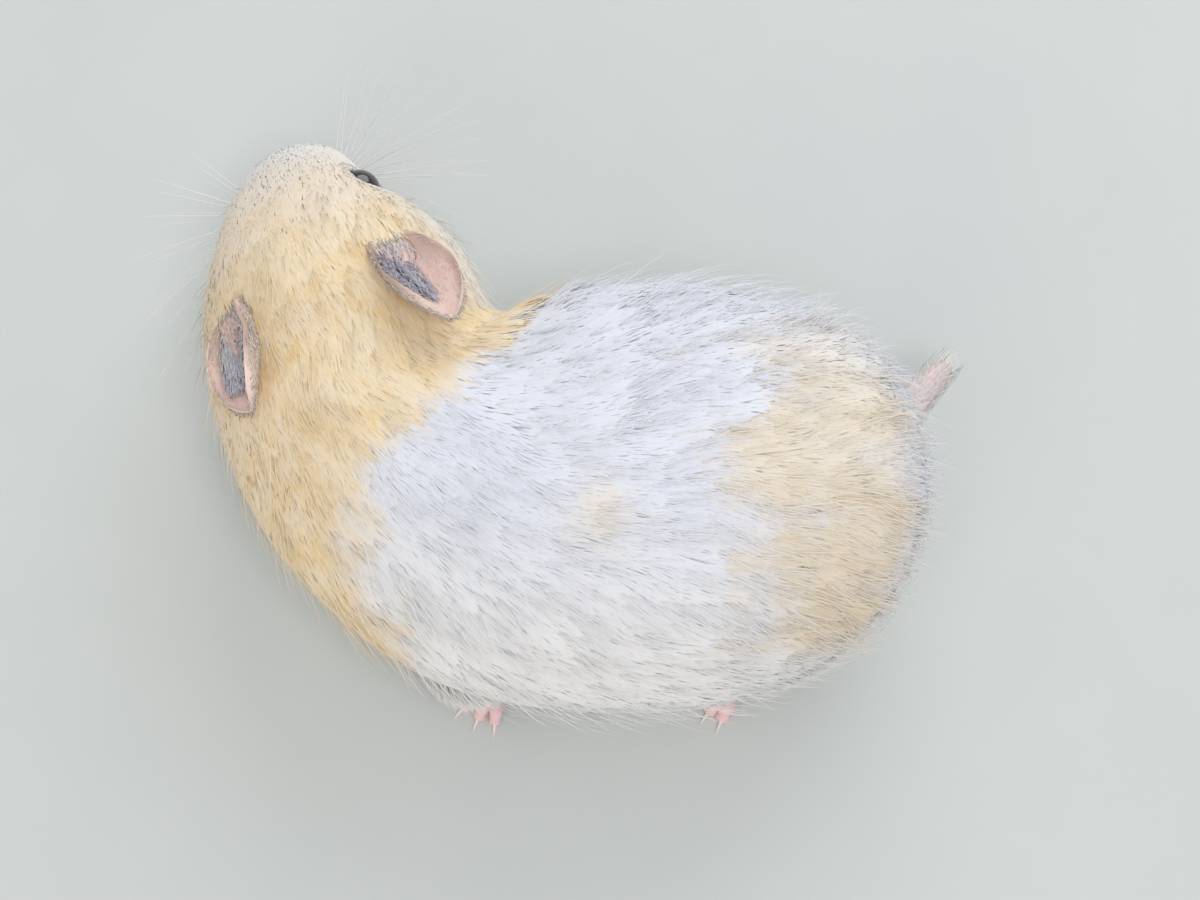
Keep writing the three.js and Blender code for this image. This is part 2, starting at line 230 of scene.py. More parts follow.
def nose_pad(points):
    """1 on the bare pad of the nose and 0 off it, by an ellipse across the head."""
    back, left, up = in_head_axes(points)
    return (1 - ramp(0.75, 1.15, np.hypot(left / 2.1, (up - 0.95) / 1.5))) * ramp(4.0, 2.5, back)


def face_relief(points):
    """How far the folds of the face stand out of the smooth form: bell curves and ramps in the
    head's axes for pad, nostrils, cleft, lips, mouth and chin, and a dip under each eye."""
    back, left, up = in_head_axes(points)
    aside, front = np.abs(left), ramp(6.5, 3.5, back)
    rise = 1.05 * nose_pad(points)
    along, across = (aside - 1.12) * 0.8 + (up - 0.8) * 0.6, (up - 0.8) * 0.8 - (aside - 1.12) * 0.6
    rise -= 0.85 * front * np.exp(-((along / 0.52) ** 2) - (across / 0.22) ** 2)
    cleft = ramp(0.9, 0.0, up) * ramp(-4.0, -3.4, up)
    rise -= front * (0.42 * cleft + 0.12 * ramp(2.3, 1.6, up)) * np.exp(-((left / 0.24) ** 2))
    rise += 0.6 * front * np.exp(-(((aside - 2.3) / 1.5) ** 2) - ((up + 1.7) / 1.5) ** 2)
    lip_line = up + 3.6 + 0.1 * aside**2
    rise -= 0.6 * np.exp(-((lip_line / 0.26) ** 2)) * ramp(4.2, 3.2, aside) * ramp(9, 6, back)
    rise += 0.35 * front * np.exp(-((left / 1.5) ** 2) - ((up + 4.9) / 0.8) ** 2)
    for side in (1, -1):
        away, out = round_eye(points, side)
        seen = ramp(-1, 0.5, out)
        rise -= seen * (1.5 * ramp(3.1, 2.3, away) + 0.2 * np.exp(-(((away - 4.3) / 0.5) ** 2)))
    return rise


def skin_form(share, turn):
    """Places on the skin of the body, and the directions out of it: the outside form, drawn in by
    the depth of the coat, with the folds of the face."""
    outside, normals = body_form(share, turn), body_normals(share, turn)
    depth = coat_depth(share * LAST, angle_at(turn))
    return outside + normals * (face_relief(outside) - depth)[..., None], normals


# ---------------------------------------------------------------- skin
# One skin covers the whole animal and stands in for every piece of flesh. Body, lids, ears, tail,
# legs and paws are worked out one by one, joined into a single closed surface, and smoothed
# where they meet.
MM = 0.001


def closed_faces(rows, columns):
    """Faces of a closed surface whose points run row by row round it, with one point at each end:
    four-sided between the rows and three-sided round the end points."""
    row, column = np.arange(rows - 1)[:, None] * columns, np.arange(columns)[None]
    following = (column + 1) % columns
    sides = np.stack([row + column, row + columns + column, row + columns + following, row + following], -1)
    first, last = rows * columns, (rows - 1) * columns
    column, following = column[0], following[0]
    head = np.stack([np.full(columns, first), column, following], -1)
    foot = np.stack([np.full(columns, first + 1), last + following, last + column], -1)
    return [sides.reshape(-1, 4), head, foot]


def closed_points(grid, first, last):
    """The points of closed_faces in their order: the rows, then the point at each end."""
    return np.vstack([grid.reshape(-1, 3), first, last])


def new_mesh(name, points, faces):
    """A mesh in metres over the origin, from points in millimetres and arrays of faces."""
    mesh = bpy.data.meshes.new(name)
    corners = np.concatenate([f.ravel() for f in faces])
    sizes = np.concatenate([np.full(len(f), f.shape[1]) for f in faces])
    mesh.vertices.add(len(points))
    mesh.vertices.foreach_set("co", ((points - CENTRE) * MM).ravel())
    mesh.loops.add(len(corners))
    mesh.loops.foreach_set("vertex_index", corners)
    mesh.polygons.add(len(sizes))
    mesh.polygons.foreach_set("loop_start", np.cumsum(sizes) - sizes)
    mesh.polygons.foreach_set("use_smooth", np.ones(len(sizes), bool))
    mesh.update(calc_edges=True)
    return mesh


def new_object(name, mesh):
    """The mesh as an object at the origin, in the scene."""
    made = bpy.data.objects.new(name, mesh)
    bpy.context.scene.collection.objects.link(made)
    return made


def read(values, count, width, kind=float):
    """Numbers that a mesh holds, as an array: values is (collection, name)."""
    numbers = np.empty(count * width, kind)
    values[0].foreach_get(values[1], numbers)
    return numbers.reshape(count, width) if width > 1 else numbers


def write(mesh, name, values):
    """A number for each point of a mesh, kept under a name for its material."""
    mesh.attributes.new(name, "FLOAT", "POINT").data.foreach_set("value", values.astype(np.float32))


# Parts of the skin, in the order they are joined.
PARTS = ["body", "lids", "ears", "tail", "legs", "paws"]


def flesh(part, points, faces):
    """One closed part of the skin, with its number in PARTS marked on its faces."""
    made = new_object("flesh_" + part, new_mesh("flesh_" + part, points, faces))
    marks = np.full(len(made.data.polygons), PARTS.index(part), np.int32)
    made.data.attributes.new("part", "INT", "FACE").data.foreach_set("value", marks)
    return made


def joined(first, others):
    """The first part with the others joined to it. They are taken away afterwards."""
    for other in others:
        cut = first.modifiers.new("join", "BOOLEAN")
        cut.operation, cut.solver, cut.object = "UNION", "MANIFOLD", other
    seen = first.evaluated_get(bpy.context.evaluated_depsgraph_get())
    mesh = bpy.data.meshes.new_from_object(seen)
    first.modifiers.clear()
    first.data = mesh
    for other in others:
        bpy.data.objects.remove(other)
    return first


def once_round(count):
    """Angles in equal steps round a circle."""
    return np.linspace(0, 2 * np.pi, count, endpoint=False)


def eased(count):
    """Steps from 0 to 1 that are closer together at both ends: half of one less a cosine."""
    return (1 - np.cos(np.linspace(0, np.pi, count))) / 2


def body_rows():
    """Shares of the spine for the rows of the body's skin: equal turns round the nose and rump
    domes, and steps between them that grow from a quarter of a millimetre to over half."""
    nose = ROUND_NOSE * (1 - np.cos(np.linspace(0, np.pi / 2, 56)[1:-1]))
    rump = 1 - ROUND_RUMP * (1 - np.cos(np.linspace(np.pi / 2, 0, 46)[1:-1]))
    place = np.linspace(ROUND_NOSE, 1 - ROUND_RUMP, 2000)
    density = np.interp(place * LAST, [0.7, 2.5, 4.0, 6.0, 10.0], [30.0, 30.0, 20.0, 16.0, 17.0])
    steps = np.cumsum(density)
    between = np.interp(np.linspace(steps[0], steps[-1], 160), steps, place)
    return np.concatenate([nose, between, rump])


rows, columns = body_rows(), 200
grid, _ = skin_form(rows[:, None], np.arange(columns)[None] / columns)
poles, _ = skin_form(np.array([0.0, 1.0]), np.zeros(2))
body = flesh("body", closed_points(grid, *poles), closed_faces(len(rows), columns))

# Each eye lies in a ring of bare lid, drawn to a corner in front and behind. The ring hugs the
# eyeball, and its outer edge sinks into the face.
LID = dict(opening=2.5, thick=0.3, corner=0.4)


def lid_ring(side):
    """A closed ring: a small flattened circle carried round the eye's line, further out at the
    two corners, at the height where it touches the ball."""
    turn, circle = once_round(72)[:, None], once_round(14)[None]
    axis = eye_axis(side)
    back = unit(-AHEAD - axis * (-AHEAD @ axis))
    up = np.cross(axis, back) * side
    corner = LID["corner"] * np.abs(np.cos(turn)) ** 6
    away = LID["opening"] + corner + 0.12 * np.sin(turn)
    lift = np.sqrt(EYE["radius"] ** 2 - np.minimum(away, 3.1) ** 2) - 0.1
    tuck = 0.5 - 0.5 * np.cos(circle)
    radial = away + 0.34 - 0.44 * np.cos(circle)
    height = lift + LID["thick"] * (0.75 * np.sin(circle) - 0.9 * tuck)
    direction = back * np.cos(turn)[..., None] + up * np.sin(turn)[..., None]
    return eye_middle(side) + direction * radial[..., None] + axis * height[..., None]


def ring_faces(rows, columns):
    """Four-sided faces of a ring, closed both ways round."""
    row, column = np.arange(rows)[:, None], np.arange(columns)[None]
    down, over = (row + 1) % rows, (column + 1) % columns
    quads = [row * columns + column, down * columns + column, down * columns + over, row * columns + over]
    return [np.stack(quads, -1).reshape(-1, 4)]


lids = [
    flesh("lids", lid_ring(side).reshape(-1, 3), [f[:, ::-side] for f in ring_faces(72, 14)])
    for side in (1, -1)
]

# The ears are thin cupped leaves laid back over the neck, with their hollow side up. Each has a
# raised fold along it, between its dark furred inner half and its bare pink outer half. EARS gives
# the root of each from the nose tip and the way it points. EAR gives the length, the half width
# round the cup, the wall, the degrees that half bends by, and how far the root goes into the head.
EARS = {
    1: dict(back=27.5, out=9.4, lift=9.6, lean=(17.3, 1.4, 5.5)),
    -1: dict(back=28.5, out=10.6, lift=9.4, lean=(17.0, 6.8, 5.0)),
}
EAR = dict(length=19.0, arc=6.8, wall=0.55, bend_at_root=115, bend=64, root=-0.22, sink=2.6)


def ear_axes(side):
    """Root, direction to the tip, direction the hollow looks, and across from inside to outside."""
    ear = EARS[side]
    back, out, up = ear["lean"]
    root = NOSE_TIP + head_step(ear["back"], side * ear["out"], ear["lift"])
    along = unit(head_step(back, side * out, up))
    hollow = head_step(0, side * 0.55, 0.84)
    hollow = unit(hollow - along * (hollow @ along))
    return root, along, hollow, np.cross(hollow, along) * -side


def ear_cup(way):
    """Half the leaf's width round its cup, and the angle of that half, from root to tip."""
    open_way = np.clip(way, 0, 1)
    half = EAR["arc"] * np.sin(np.pi * (0.14 + 0.86 * open_way)) ** 0.5
    bend = EAR["bend_at_root"] + (EAR["bend"] - EAR["bend_at_root"]) * np.minimum(1, 2 * open_way)
    return np.maximum(half, 1e-3), np.radians(bend)


def ear_form(side, way, across, out):
    """Places on an ear: way runs from root to tip, across from -1 at its inner edge to 1 at its
    outer edge, and out is the height on the hollow side."""
    root, along, hollow, outer = ear_axes(side)
    half, bend = ear_cup(way)
    fold = 0.5 * np.exp(-(((across + 0.12 + 0.2 * way) / 0.13) ** 2))
    fold = fold * ramp(0, 0.3, way) * ramp(0.95, 0.6, way)
    curl = 0.5 * ramp(0.78, 1.0, np.abs(across)) * ramp(0.1, 0.4, way)
    ripple = 0.12 * np.sin(9 * across + 5 * way) * ramp(0.2, 0.5, way)
    radius = half / bend
    angle = bend * across
    inward = radius - out - (fold + curl + ripple) * np.minimum(1, half / 3)
    height = radius - inward * np.cos(angle) - EAR["sink"] * ramp(0.12, EAR["root"], way)
    return (
        root
        + along * (way * EAR["length"])[..., None]
        + outer * (inward * np.sin(angle))[..., None]
        + hollow * height[..., None]
    )


def ear_skin(side):
    """A closed leaf: an ellipse carried from root to tip, flat enough to be a thin wall."""
    way = EAR["root"] + (1 - EAR["root"]) * eased(58)[1:-1, None]
    circle = once_round(76)[None]
    thin = np.minimum(1, 5 * (1 - way) + 0.25)
    grid = ear_form(side, way + 0 * circle, np.cos(circle) + 0 * way, EAR["wall"] / 2 * np.sin(circle) * thin)
    ends = ear_form(side, np.array([EAR["root"], 1.0]), np.zeros(2), np.zeros(2))
    return closed_points(grid, *ends)


ears = [flesh("ears", ear_skin(side), [f[:, ::-side] for f in closed_faces(56, 76)]) for side in (1, -1)]

# The tail is a short blunt cone, ringed with fine folds.
TAIL_ROOT, TAIL_TIP = np.array([-36.6, -1.2, 18.1]), np.array([-48.4, -15.0, 15.0])


def tube(path, radii, columns, squash=1.0):
    """A closed skin round a path of points, its circles square to the path and flattened across
    the upright by squash, with an end point at both ends."""
    tangent = unit(np.gradient(path, axis=0))
    side = unit(np.cross(tangent, UPRIGHT))
    up = np.cross(side, tangent)
    circle = once_round(columns)
    ring = side[:, None] * np.cos(circle)[None, :, None]
    ring = ring + up[:, None] * np.sin(circle)[None, :, None] * squash
    return closed_points((path[:, None] + ring * radii[:, None, None])[1:-1], path[0], path[-1])


def tail_line(way):
    """The tail's middle line, with a slight rise half way, and its radius, rounded off at both
    ends by an eighth power."""
    rise = UPRIGHT * (0.8 * np.sin(np.pi * way))[..., None]
    middle = TAIL_ROOT + (TAIL_TIP - TAIL_ROOT) * way[..., None] + rise
    rounded = np.sqrt(np.maximum(0, 1 - (2 * way - 1) ** 8))
    return middle, np.interp(way, [0, 0.35, 1], [3.6, 2.5, 1.5]) * rounded


way = eased(60)
tail_path, tail_radii = tail_line(way)
tail_radii *= 1 + 0.03 * np.sin(way * 95) * ramp(0.2, 0.4, way)
tail = flesh("tail", tube(tail_path, tail_radii, 36), closed_faces(58, 36))

# The legs are short and mostly hidden in the body: one rounded muscle each, with its middle, its
# half sizes ahead, aside and up, and the direction it leans in.
LEGS = {
    "foreleg_left": ((17.0, 25.0, 12.0), (6.4, 6.2, 11.0), (-0.1, -0.25, 1)),
    "foreleg_right": ((20.5, -13.5, 12.0), (6.4, 6.0, 11.0), (-0.1, 0.25, 1)),
    "hindleg_left": ((-18.5, 20.6, 13.6), (15.0, 9.2, 12.0), (0.18, 0, 1)),
    "hindleg_right": ((-18.5, -11.2, 13.6), (15.0, 9.2, 12.0), (0.18, 0, 1)),
}
LEG_COAT = 1.0  # depth of the coat on them


def leg_axes(lean):
    """A leg's own axes as rows: ahead, aside and up along its lean."""
    up = unit(np.array(lean, float))
    side = unit(np.cross(up, [1.0, 0.0, 0.0]))
    return np.array([np.cross(side, up), side, up])


def ball_angles(rows, columns):
    """For the rows of points on a ball, the angle from its top and the angle round it."""
    polar = np.linspace(0, np.pi, rows + 2)[1:-1, None] + np.zeros(columns)
    return polar, once_round(columns)[None] + 0 * polar


def from_ball(polar, turn):
    """Directions out of the middle of a ball, for those two angles."""
    return np.stack([np.sin(polar) * np.cos(turn), np.sin(polar) * np.sin(turn), np.cos(polar)], -1)


def leg_form(name, polar, turn):
    """Places on a leg's skin, and directions out of it: an ellipsoid by two angles."""
    at, radii, lean = LEGS[name]
    radii = np.array(radii) - LEG_COAT
    ball = from_ball(polar, turn)
    return np.array(at) + (ball * radii) @ leg_axes(lean), unit((ball / radii) @ leg_axes(lean))


def leg_skin(name):
    """A leg's closed skin."""
    ends, _ = leg_form(name, np.array([0.0, np.pi]), np.zeros(2))
    return closed_points(leg_form(name, *ball_angles(32, 44))[0], *ends)


legs = [flesh("legs", leg_skin(name), closed_faces(32, 44)) for name in LEGS]

# The paws are bare and pink: a flat sole with a raised back, and toes that arch from the knuckle
# to a round pad on the floor. Forepaws have four toes and hind paws five. PAWS gives where heel and
# toes stand on the floor, fan the degrees between toes, and digit the half thickness of a toe.
PAWS = {
    "forepaw_left": ((13.5, 25.5), (18.5, 32.6)),
    "forepaw_right": ((19.5, -15.5), (25.0, -22.6)),
    "hindpaw_left": ((-26.0, 21.0), (-12.8, 30.8)),
    "hindpaw_right": ((-26.0, -11.0), (-12.8, -20.8)),
}
FORE = dict(toes=4, width=6.0, height=3.9, fan=20, digit=1.05, reach=3.6)
HIND = dict(toes=5, width=6.4, height=4.4, fan=15, digit=1.2, reach=4.6)
SOLE = dict(overhang=0.7, middle=0.45, end=0.6)


def paw_axes(name):
    """Heel, direction of the toes, direction to the left, length of the sole, and sizes."""
    heel, toe = (np.array([*p, 0.0]) for p in PAWS[name])
    shape = FORE if name.startswith("fore") else HIND
    forward = unit(toe - heel)
    length = np.linalg.norm(toe - heel) - shape["reach"]
    return heel, forward, np.cross(UPRIGHT, forward), length, shape


def on_sole(name, way, aside, height):
    """Places by a paw's own axes: way from just behind its heel to just under its toes."""
    heel, forward, side, length, _ = paw_axes(name)
    ahead = way * (length + 2 * SOLE["overhang"]) - SOLE["overhang"]
    return heel + forward * ahead[..., None] + side * aside[..., None] + UPRIGHT * height[..., None]


def palm_size(shape, way):
    """Half width and height of a sole from heel to toes, and how full its rounded ends are."""
    full = (1 - np.abs(2 * way - 1) ** 3) ** 0.5
    wide = shape["width"] / 2 * np.interp(way, [0, 0.3, 0.75, 1], [0.62, 0.7, 1.0, 0.95]) * full
    tall = shape["height"] * np.interp(way, [0, 0.35, 0.8, 1], [1.0, 0.95, 0.62, 0.5]) * full
    return wide, tall, full


def palm_skin(name):
    """A closed sole: rounded across, widest before the toes, highest at the wrist or ankle, and
    flat below."""
    way, circle = eased(40)[1:-1, None], once_round(40)[None]
    wide, tall, full = palm_size(paw_axes(name)[4], way)
    aside, high = np.cos(circle), np.sin(circle)
    aside = wide * np.sign(aside) * np.abs(aside) ** 0.85
    height = np.where(high > 0, high * tall, high * 0.8 * full) + SOLE["middle"]
    ends = on_sole(name, np.array([0.0, 1.0]), np.zeros(2), np.full(2, SOLE["end"]))
    return closed_points(on_sole(name, way, aside, height), *ends)


def toe_path(name, number, way):
    """The middle line of a toe: it rises from the sole, arches over its knuckle and comes down."""
    heel, forward, side, length, shape = paw_axes(name)
    place = number - (shape["toes"] - 1) / 2
    spread = np.radians(place * shape["fan"])
    heading = forward * np.cos(spread) + side * np.sin(spread)
    start = heel + forward * (length - 1.0) + side * place * shape["width"] * 0.82 / shape["toes"]
    reach = (shape["reach"] + 0.6) * (1 - 0.09 * abs(place))
    arch = shape["digit"] * (0.78 + 0.75 * np.sin(np.pi * way**0.8) ** 1.3)
    return start + heading * (way * reach)[:, None] + UPRIGHT * arch[:, None], heading


def toe_skin(name, number):
    """A closed toe: circles along its line, fuller at the knuckle and at the pad."""
    way = eased(30)
    digit = paw_axes(name)[4]["digit"]
    full = np.sqrt(np.maximum(0, 1 - (2 * way - 1) ** 6))
    radii = digit * full * (0.86 + 0.1 * np.cos(2 * np.pi * (way - 0.45) * 1.9))
    return tube(toe_path(name, number, way)[0], radii, 20, 0.95)


paws = []
for name in PAWS:
    toes = range(paw_axes(name)[4]["toes"])
    digits = [flesh("paws", toe_skin(name, number), closed_faces(28, 20)) for number in toes]
    paws.append(joined(flesh("paws", palm_skin(name), closed_faces(38, 40)), digits))

skin = joined(body, [*lids, *ears, tail, *legs, *paws])
skin.name = "skin"


def smooth_joins(mesh, reach, rounds):
    """Draws each point near a join towards the middle of its neighbours, most at the join and
    less with each step away, and brings every foot to the floor."""
    count, corners = len(mesh.vertices), len(mesh.loops)
    points = read((mesh.vertices, "co"), count, 3)
    edges = read((mesh.edges, "vertices"), len(mesh.edges), 2, np.int32)
    sizes = read((mesh.polygons, "loop_total"), len(mesh.polygons), 1, np.int32)
    marks = read((mesh.attributes["part"].data, "value"), len(mesh.polygons), 1, np.int32)
    of_corner = np.repeat(marks, sizes)
    vertex = read((mesh.loops, "vertex_index"), corners, 1, np.int32)
    low, high = np.full(count, 99), np.full(count, -1)
    np.minimum.at(low, vertex, of_corner)
    np.maximum.at(high, vertex, of_corner)
    near = (low != high).astype(float)
    parts = np.array([np.bincount(vertex[of_corner == k], minlength=count) for k in range(len(PARTS))])
    parts = parts / parts.sum(0)
    degree = np.bincount(edges.ravel(), minlength=count).astype(float)

    def neighbours(values):
        """For each point, the sum of a value over the points that an edge ties to it."""
        ahead = np.bincount(edges[:, 0], values[edges[:, 1]], count)
        return ahead + np.bincount(edges[:, 1], values[edges[:, 0]], count)

    for _ in range(reach):
        near = np.maximum(near, neighbours(near) / degree * 0.95 + (neighbours(near) > 0) * 0.25 * near.max())
        near = np.minimum(near, 1)
    for _ in range(rounds):
        middle = np.stack([neighbours(points[:, k]) / degree for k in range(3)], -1)
        points += 0.6 * near[:, None] * (middle - points)
        parts += 0.6 * near * (np.array([neighbours(p) / degree for p in parts]) - parts)
    points[:, 2] = np.maximum(points[:, 2], 0)
    mesh.vertices.foreach_set("co", points.ravel())
    mesh.attributes.remove(mesh.attributes["part"])
    mesh.update()
    return points / MM + CENTRE, dict(zip(PARTS, parts))


skin_points, skin_parts = smooth_joins(skin.data, 3, 10)
skin.data.polygons.foreach_set("use_smooth", np.ones(len(skin.data.polygons), bool))

# ---------------------------------------------------------------- markings
# Cream head and rump with a white band between them. The same rule marks skin and coat, so that
# nothing shows through where hairs part. The white also carries painted light: a cool tint over
# the back and a warm tint in the shade low on the left flank.
dice = np.random.default_rng(7)
WAVES = dice.normal(size=(12, 3))
PHASES = dice.uniform(0, 2 * np.pi, 12)


def drift(points, size):
    """A slow change over space between about -1 and 1: a mean of twelve waves of random
    direction, each about size millimetres long."""
    return np.sin(points @ WAVES.T * (2 * np.pi / size / 1.7) + PHASES).sum(-1) / 3.2


def cream_share(points, place, angle):
    """How cream the coat is, 0 to 1. The head's cream ends at a line behind the ears, further
    back low down. The rump's cream is a patch with a pale rim, and muzzle and cheeks are pale."""
    aside, ragged = np.abs(angle), 0.16 * drift(points, 9.0) + 0.1 * drift(points + 40, 3.2)
    nape = 5.75 + 0.5 * (np.minimum(aside, 95) / 65) ** 1.6
    head = 1 - ramp(nape - 0.25, nape + 0.3, place + ragged)
    head *= np.interp(place, [0, 1.2, 2.2, 3.2, 4.0], [0.04, 0.14, 0.55, 0.9, 1.0])
    head *= 1 - 0.5 * ramp(55, 90, aside) * ramp(5.2, 4.4, place)
    side = (angle + 14) / 66
    start = 8.75 + 0.55 * side**2
    rump = ramp(start - 0.3, start + 0.6, place + 1.4 * ragged) * ramp(78, 48, np.abs(angle + 8))
    rump *= 1 - 0.85 * ramp(9.9, 10.8, place + ragged)
    rump *= 1 - 0.55 * ramp(15, 40, angle)
    spot = 0.45 * np.exp(-(((place - 7.7) / 0.22) ** 2) - ((angle + 17) / 8) ** 2)
    return np.clip((head + 0.66 * rump + spot) * ramp(135, 105, aside), 0, 1)


def warmth_and_painted_light(place, angle):
    """How warm the white of the coat is, 0 to 1. Over the back and the right flank it is cool, as
    painted cool light from above; low on the left flank and underneath it is warm, as painted warm
    shade; on the muzzle it is warm as the muzzle's own pale colour."""
    return np.clip(ramp(3.5, 1.5, place) + 0.8 * ramp(-5, -65, angle) + ramp(100, 130, np.abs(angle)), 0, 1)


def paint(red, green, blue):
    """A colour given as on a screen, in the even scale that materials take."""
    screen = np.array([red, green, blue]) / 255
    even = np.where(screen > 0.04045, ((screen + 0.055) / 1.055) ** 2.4, screen / 12.92)
    return (*even.tolist(), 1.0)


def blend(nodes, links, share, first, second):
    """A colour mix in a node tree: share, first and second are sockets, numbers or colours."""
    mix = nodes.new("ShaderNodeMix")
    mix.data_type = "RGBA"
    for name, value in (("Factor", share), ("A", first), ("B", second)):
        socket = next(s for s in mix.inputs if s.name == name and (s.type == "RGBA") == (name != "Factor"))
        if isinstance(value, bpy.types.NodeSocket):
            links.new(value, socket)
        else:
            socket.default_value = value
    return next(s for s in mix.outputs if s.type == "RGBA")


def new_group(name, numbers, colours=()):
    """A node group with named inputs that puts out a colour: its nodes, links, inputs and output."""
    group = bpy.data.node_groups.new(name, "ShaderNodeTree")
    for names, kind in ((numbers, "NodeSocketFloat"), (colours, "NodeSocketColor")):
        for socket in names:
            group.interface.new_socket(socket, in_out="INPUT", socket_type=kind)
    group.interface.new_socket("Color", in_out="OUTPUT", socket_type="NodeSocketColor")
    nodes, links = group.nodes, group.links
    given, out = nodes.new("NodeGroupInput").outputs, nodes.new("NodeGroupOutput").inputs["Color"]
    return group, nodes, links, given, out


def coat_colour_group():
    """Colour of a place on the coat or the skin under it. Cream and grey say how cream and how
    dark it is, along runs from root to tip, and shade picks between pale and golden hairs on the
    cream, and on the white between a cool and a warm white, which is painted light and shade."""
    group, nodes, links, given, out = new_group("coat_colour", COAT_NUMBERS)
    # Cool to warm white by shade: painted cool light from above, painted warm shade low on the left.
    white = blend(nodes, links, given["shade"], paint(232, 235, 247), paint(247, 241, 232))
    white = blend(nodes, links, given["along"], paint(238, 236, 237), white)
    gold = blend(nodes, links, given["shade"], paint(249, 233, 206), paint(240, 203, 142))
    gold = blend(nodes, links, given["along"], paint(245, 220, 178), gold)
    coat = blend(nodes, links, given["cream"], white, gold)
    dark = blend(nodes, links, given["along"], paint(104, 97, 112), paint(226, 218, 230))
    links.new(blend(nodes, links, given["grey"], coat, dark), out)
    return group


COAT_NUMBERS = ("cream", "grey", "along", "shade")
COAT_COLOUR = coat_colour_group()


def kept_number(nodes, name):
    """The socket that gives a number kept on the mesh."""
    attribute = nodes.new("ShaderNodeAttribute")
    attribute.attribute_name = name
    return attribute.outputs["Fac"]


def coat_colour(nodes, links, along=None):
    """The colour group placed in a material, reading the numbers kept on the mesh."""
    group = nodes.new("ShaderNodeGroup")
    group.node_tree = COAT_COLOUR
    for name in COAT_NUMBERS:
        if name == "along" and along is not None:
            group.inputs[name].default_value = along
        else:
            links.new(kept_number(nodes, name), group.inputs[name])
    return group.outputs["Color"]


def bare_material(name):
    """A material with nothing set yet, with its nodes, its links and its shader."""
    material = bpy.data.materials.new(name)
    material.use_nodes = True
    nodes, links = material.node_tree.nodes, material.node_tree.links
    return material, nodes, links, nodes["Principled BSDF"]


def vary_roughness(nodes, links, shader, by, low, high):
    """Lets the roughness follow a number from 0 to 1, between low and high."""
    rough = nodes.new("ShaderNodeMapRange")
    rough.inputs["To Min"].default_value, rough.inputs["To Max"].default_value = low, high
    links.new(by, rough.inputs["Value"])
    links.new(rough.outputs["Result"], shader.inputs["Roughness"])


def skin_material():
    """Under the coat the skin has the coat's colour. Bare skin is pink, mottled by noise, darker
    on the dark half of the ears and on the lids, with fine wrinkles as bump."""
    material, nodes, links, shader = bare_material("skin")
    place = nodes.new("ShaderNodeTexCoord").outputs["Object"]
    mottle, wrinkle = nodes.new("ShaderNodeTexNoise"), nodes.new("ShaderNodeTexVoronoi")
    mottle.inputs["Scale"].default_value, mottle.inputs["Detail"].default_value = 450, 4
    wrinkle.inputs["Scale"].default_value = 2400
    wrinkle.feature = "DISTANCE_TO_EDGE"
    for texture in (mottle, wrinkle):
        links.new(place, texture.inputs["Vector"])
    pink = blend(nodes, links, mottle.outputs["Fac"], paint(240, 188, 188), paint(250, 220, 218))
    pink = blend(nodes, links, kept_number(nodes, "dark"), pink, paint(104, 92, 102))
    colour = blend(nodes, links, kept_number(nodes, "bare"), coat_colour(nodes, links, 0.35), pink)
    links.new(colour, shader.inputs["Base Color"])
    vary_roughness(nodes, links, shader, mottle.outputs["Fac"], 0.42, 0.62)
    bump = nodes.new("ShaderNodeBump")
    bump.inputs["Strength"].default_value, bump.inputs["Distance"].default_value = 0.5, 0.0002
    links.new(wrinkle.outputs["Distance"], bump.inputs["Height"])
    links.new(bump.outputs["Normal"], shader.inputs["Normal"])
    shader.inputs["Subsurface Weight"].default_value = 0.2
    shader.inputs["Subsurface Radius"].default_value = (0.0012, 0.0005, 0.0003)
    shader.inputs["Subsurface Scale"].default_value = 1.0
    return material


def in_ear_axes(points, side):
    """Where points lie by an ear: way from root to tip, offset to its outer side and height
    over its line."""
    root, along, hollow, outer = ear_axes(side)
    away = points - root
    return away @ along / EAR["length"], away @ outer, away @ hollow


def dark_of_ear(side, way, across):
    """The dark patch on the hollow side of an ear: its inner half, clear of tip and rim. It
    reaches further out on the left ear."""
    edge = 0.34 if side < 0 else 0.8
    patch = ramp(edge + 0.12, edge - 0.12, across + 0.25 * way) * ramp(-1.0, -0.75, across)
    return patch * ramp(-0.05, 0.12, way) * ramp(0.8, 0.6, way)


EAR_BARE, TAIL_BARE = 0.68, 0.8  # how bare their skin is, 1 being the pink of the paws
skin_place, skin_angle, _ = on_spine(skin_points)
bare = skin_parts["lids"] + skin_parts["paws"]
bare += EAR_BARE * skin_parts["ears"] + TAIL_BARE * skin_parts["tail"]
bare = np.maximum(bare, nose_pad(skin_points))
dark = 0.55 * skin_parts["lids"]
for side in (1, -1):
    way, outer, height = in_ear_axes(skin_points, side)
    half, bend = ear_cup(way)
    across = np.arcsin(np.clip(outer / (half / bend), -1, 1)) / bend
    cup = half / bend * np.sin(np.minimum(bend, np.pi / 2)) - 0.3
    in_cup = (way > -0.02) & (way < 0.9) & (np.abs(outer) < cup) & (height > -1.5)
    bare = np.where(in_cup, np.maximum(bare, EAR_BARE), bare)
    hollow_side = height > half / bend * (1 - np.cos(bend * across)) + 0.02
    strength = np.where(hollow_side & (skin_parts["ears"] > 0.5), 0.9, 0.25)
    dark += strength * dark_of_ear(side, way, across) * skin_parts["ears"]
for name, values in dict(
    cream=cream_share(skin_points, skin_place, skin_angle),
    grey=0 * skin_place,
    # The skin's white takes the coat's painted light: cool over the back, warm in the shade low on the left.
    shade=0.5 * warmth_and_painted_light(skin_place, skin_angle) + 0.25 + 0.2 * drift(skin_points, 5.0),
    bare=np.clip(bare, 0, 1),
    dark=np.clip(dark, 0, 1),
).items():
    write(skin.data, name, values)
skin.data.materials.clear()
skin.data.materials.append(skin_material())
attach(skin, "root")
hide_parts(*[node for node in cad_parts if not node.startswith("eye")])

# ---------------------------------------------------------------- eyes
# Two wet black beads: brown-black to look into, under a clear cornea that bulges a little. Each is
# a ball of its own, held in its lids.
BULGE = 0.1


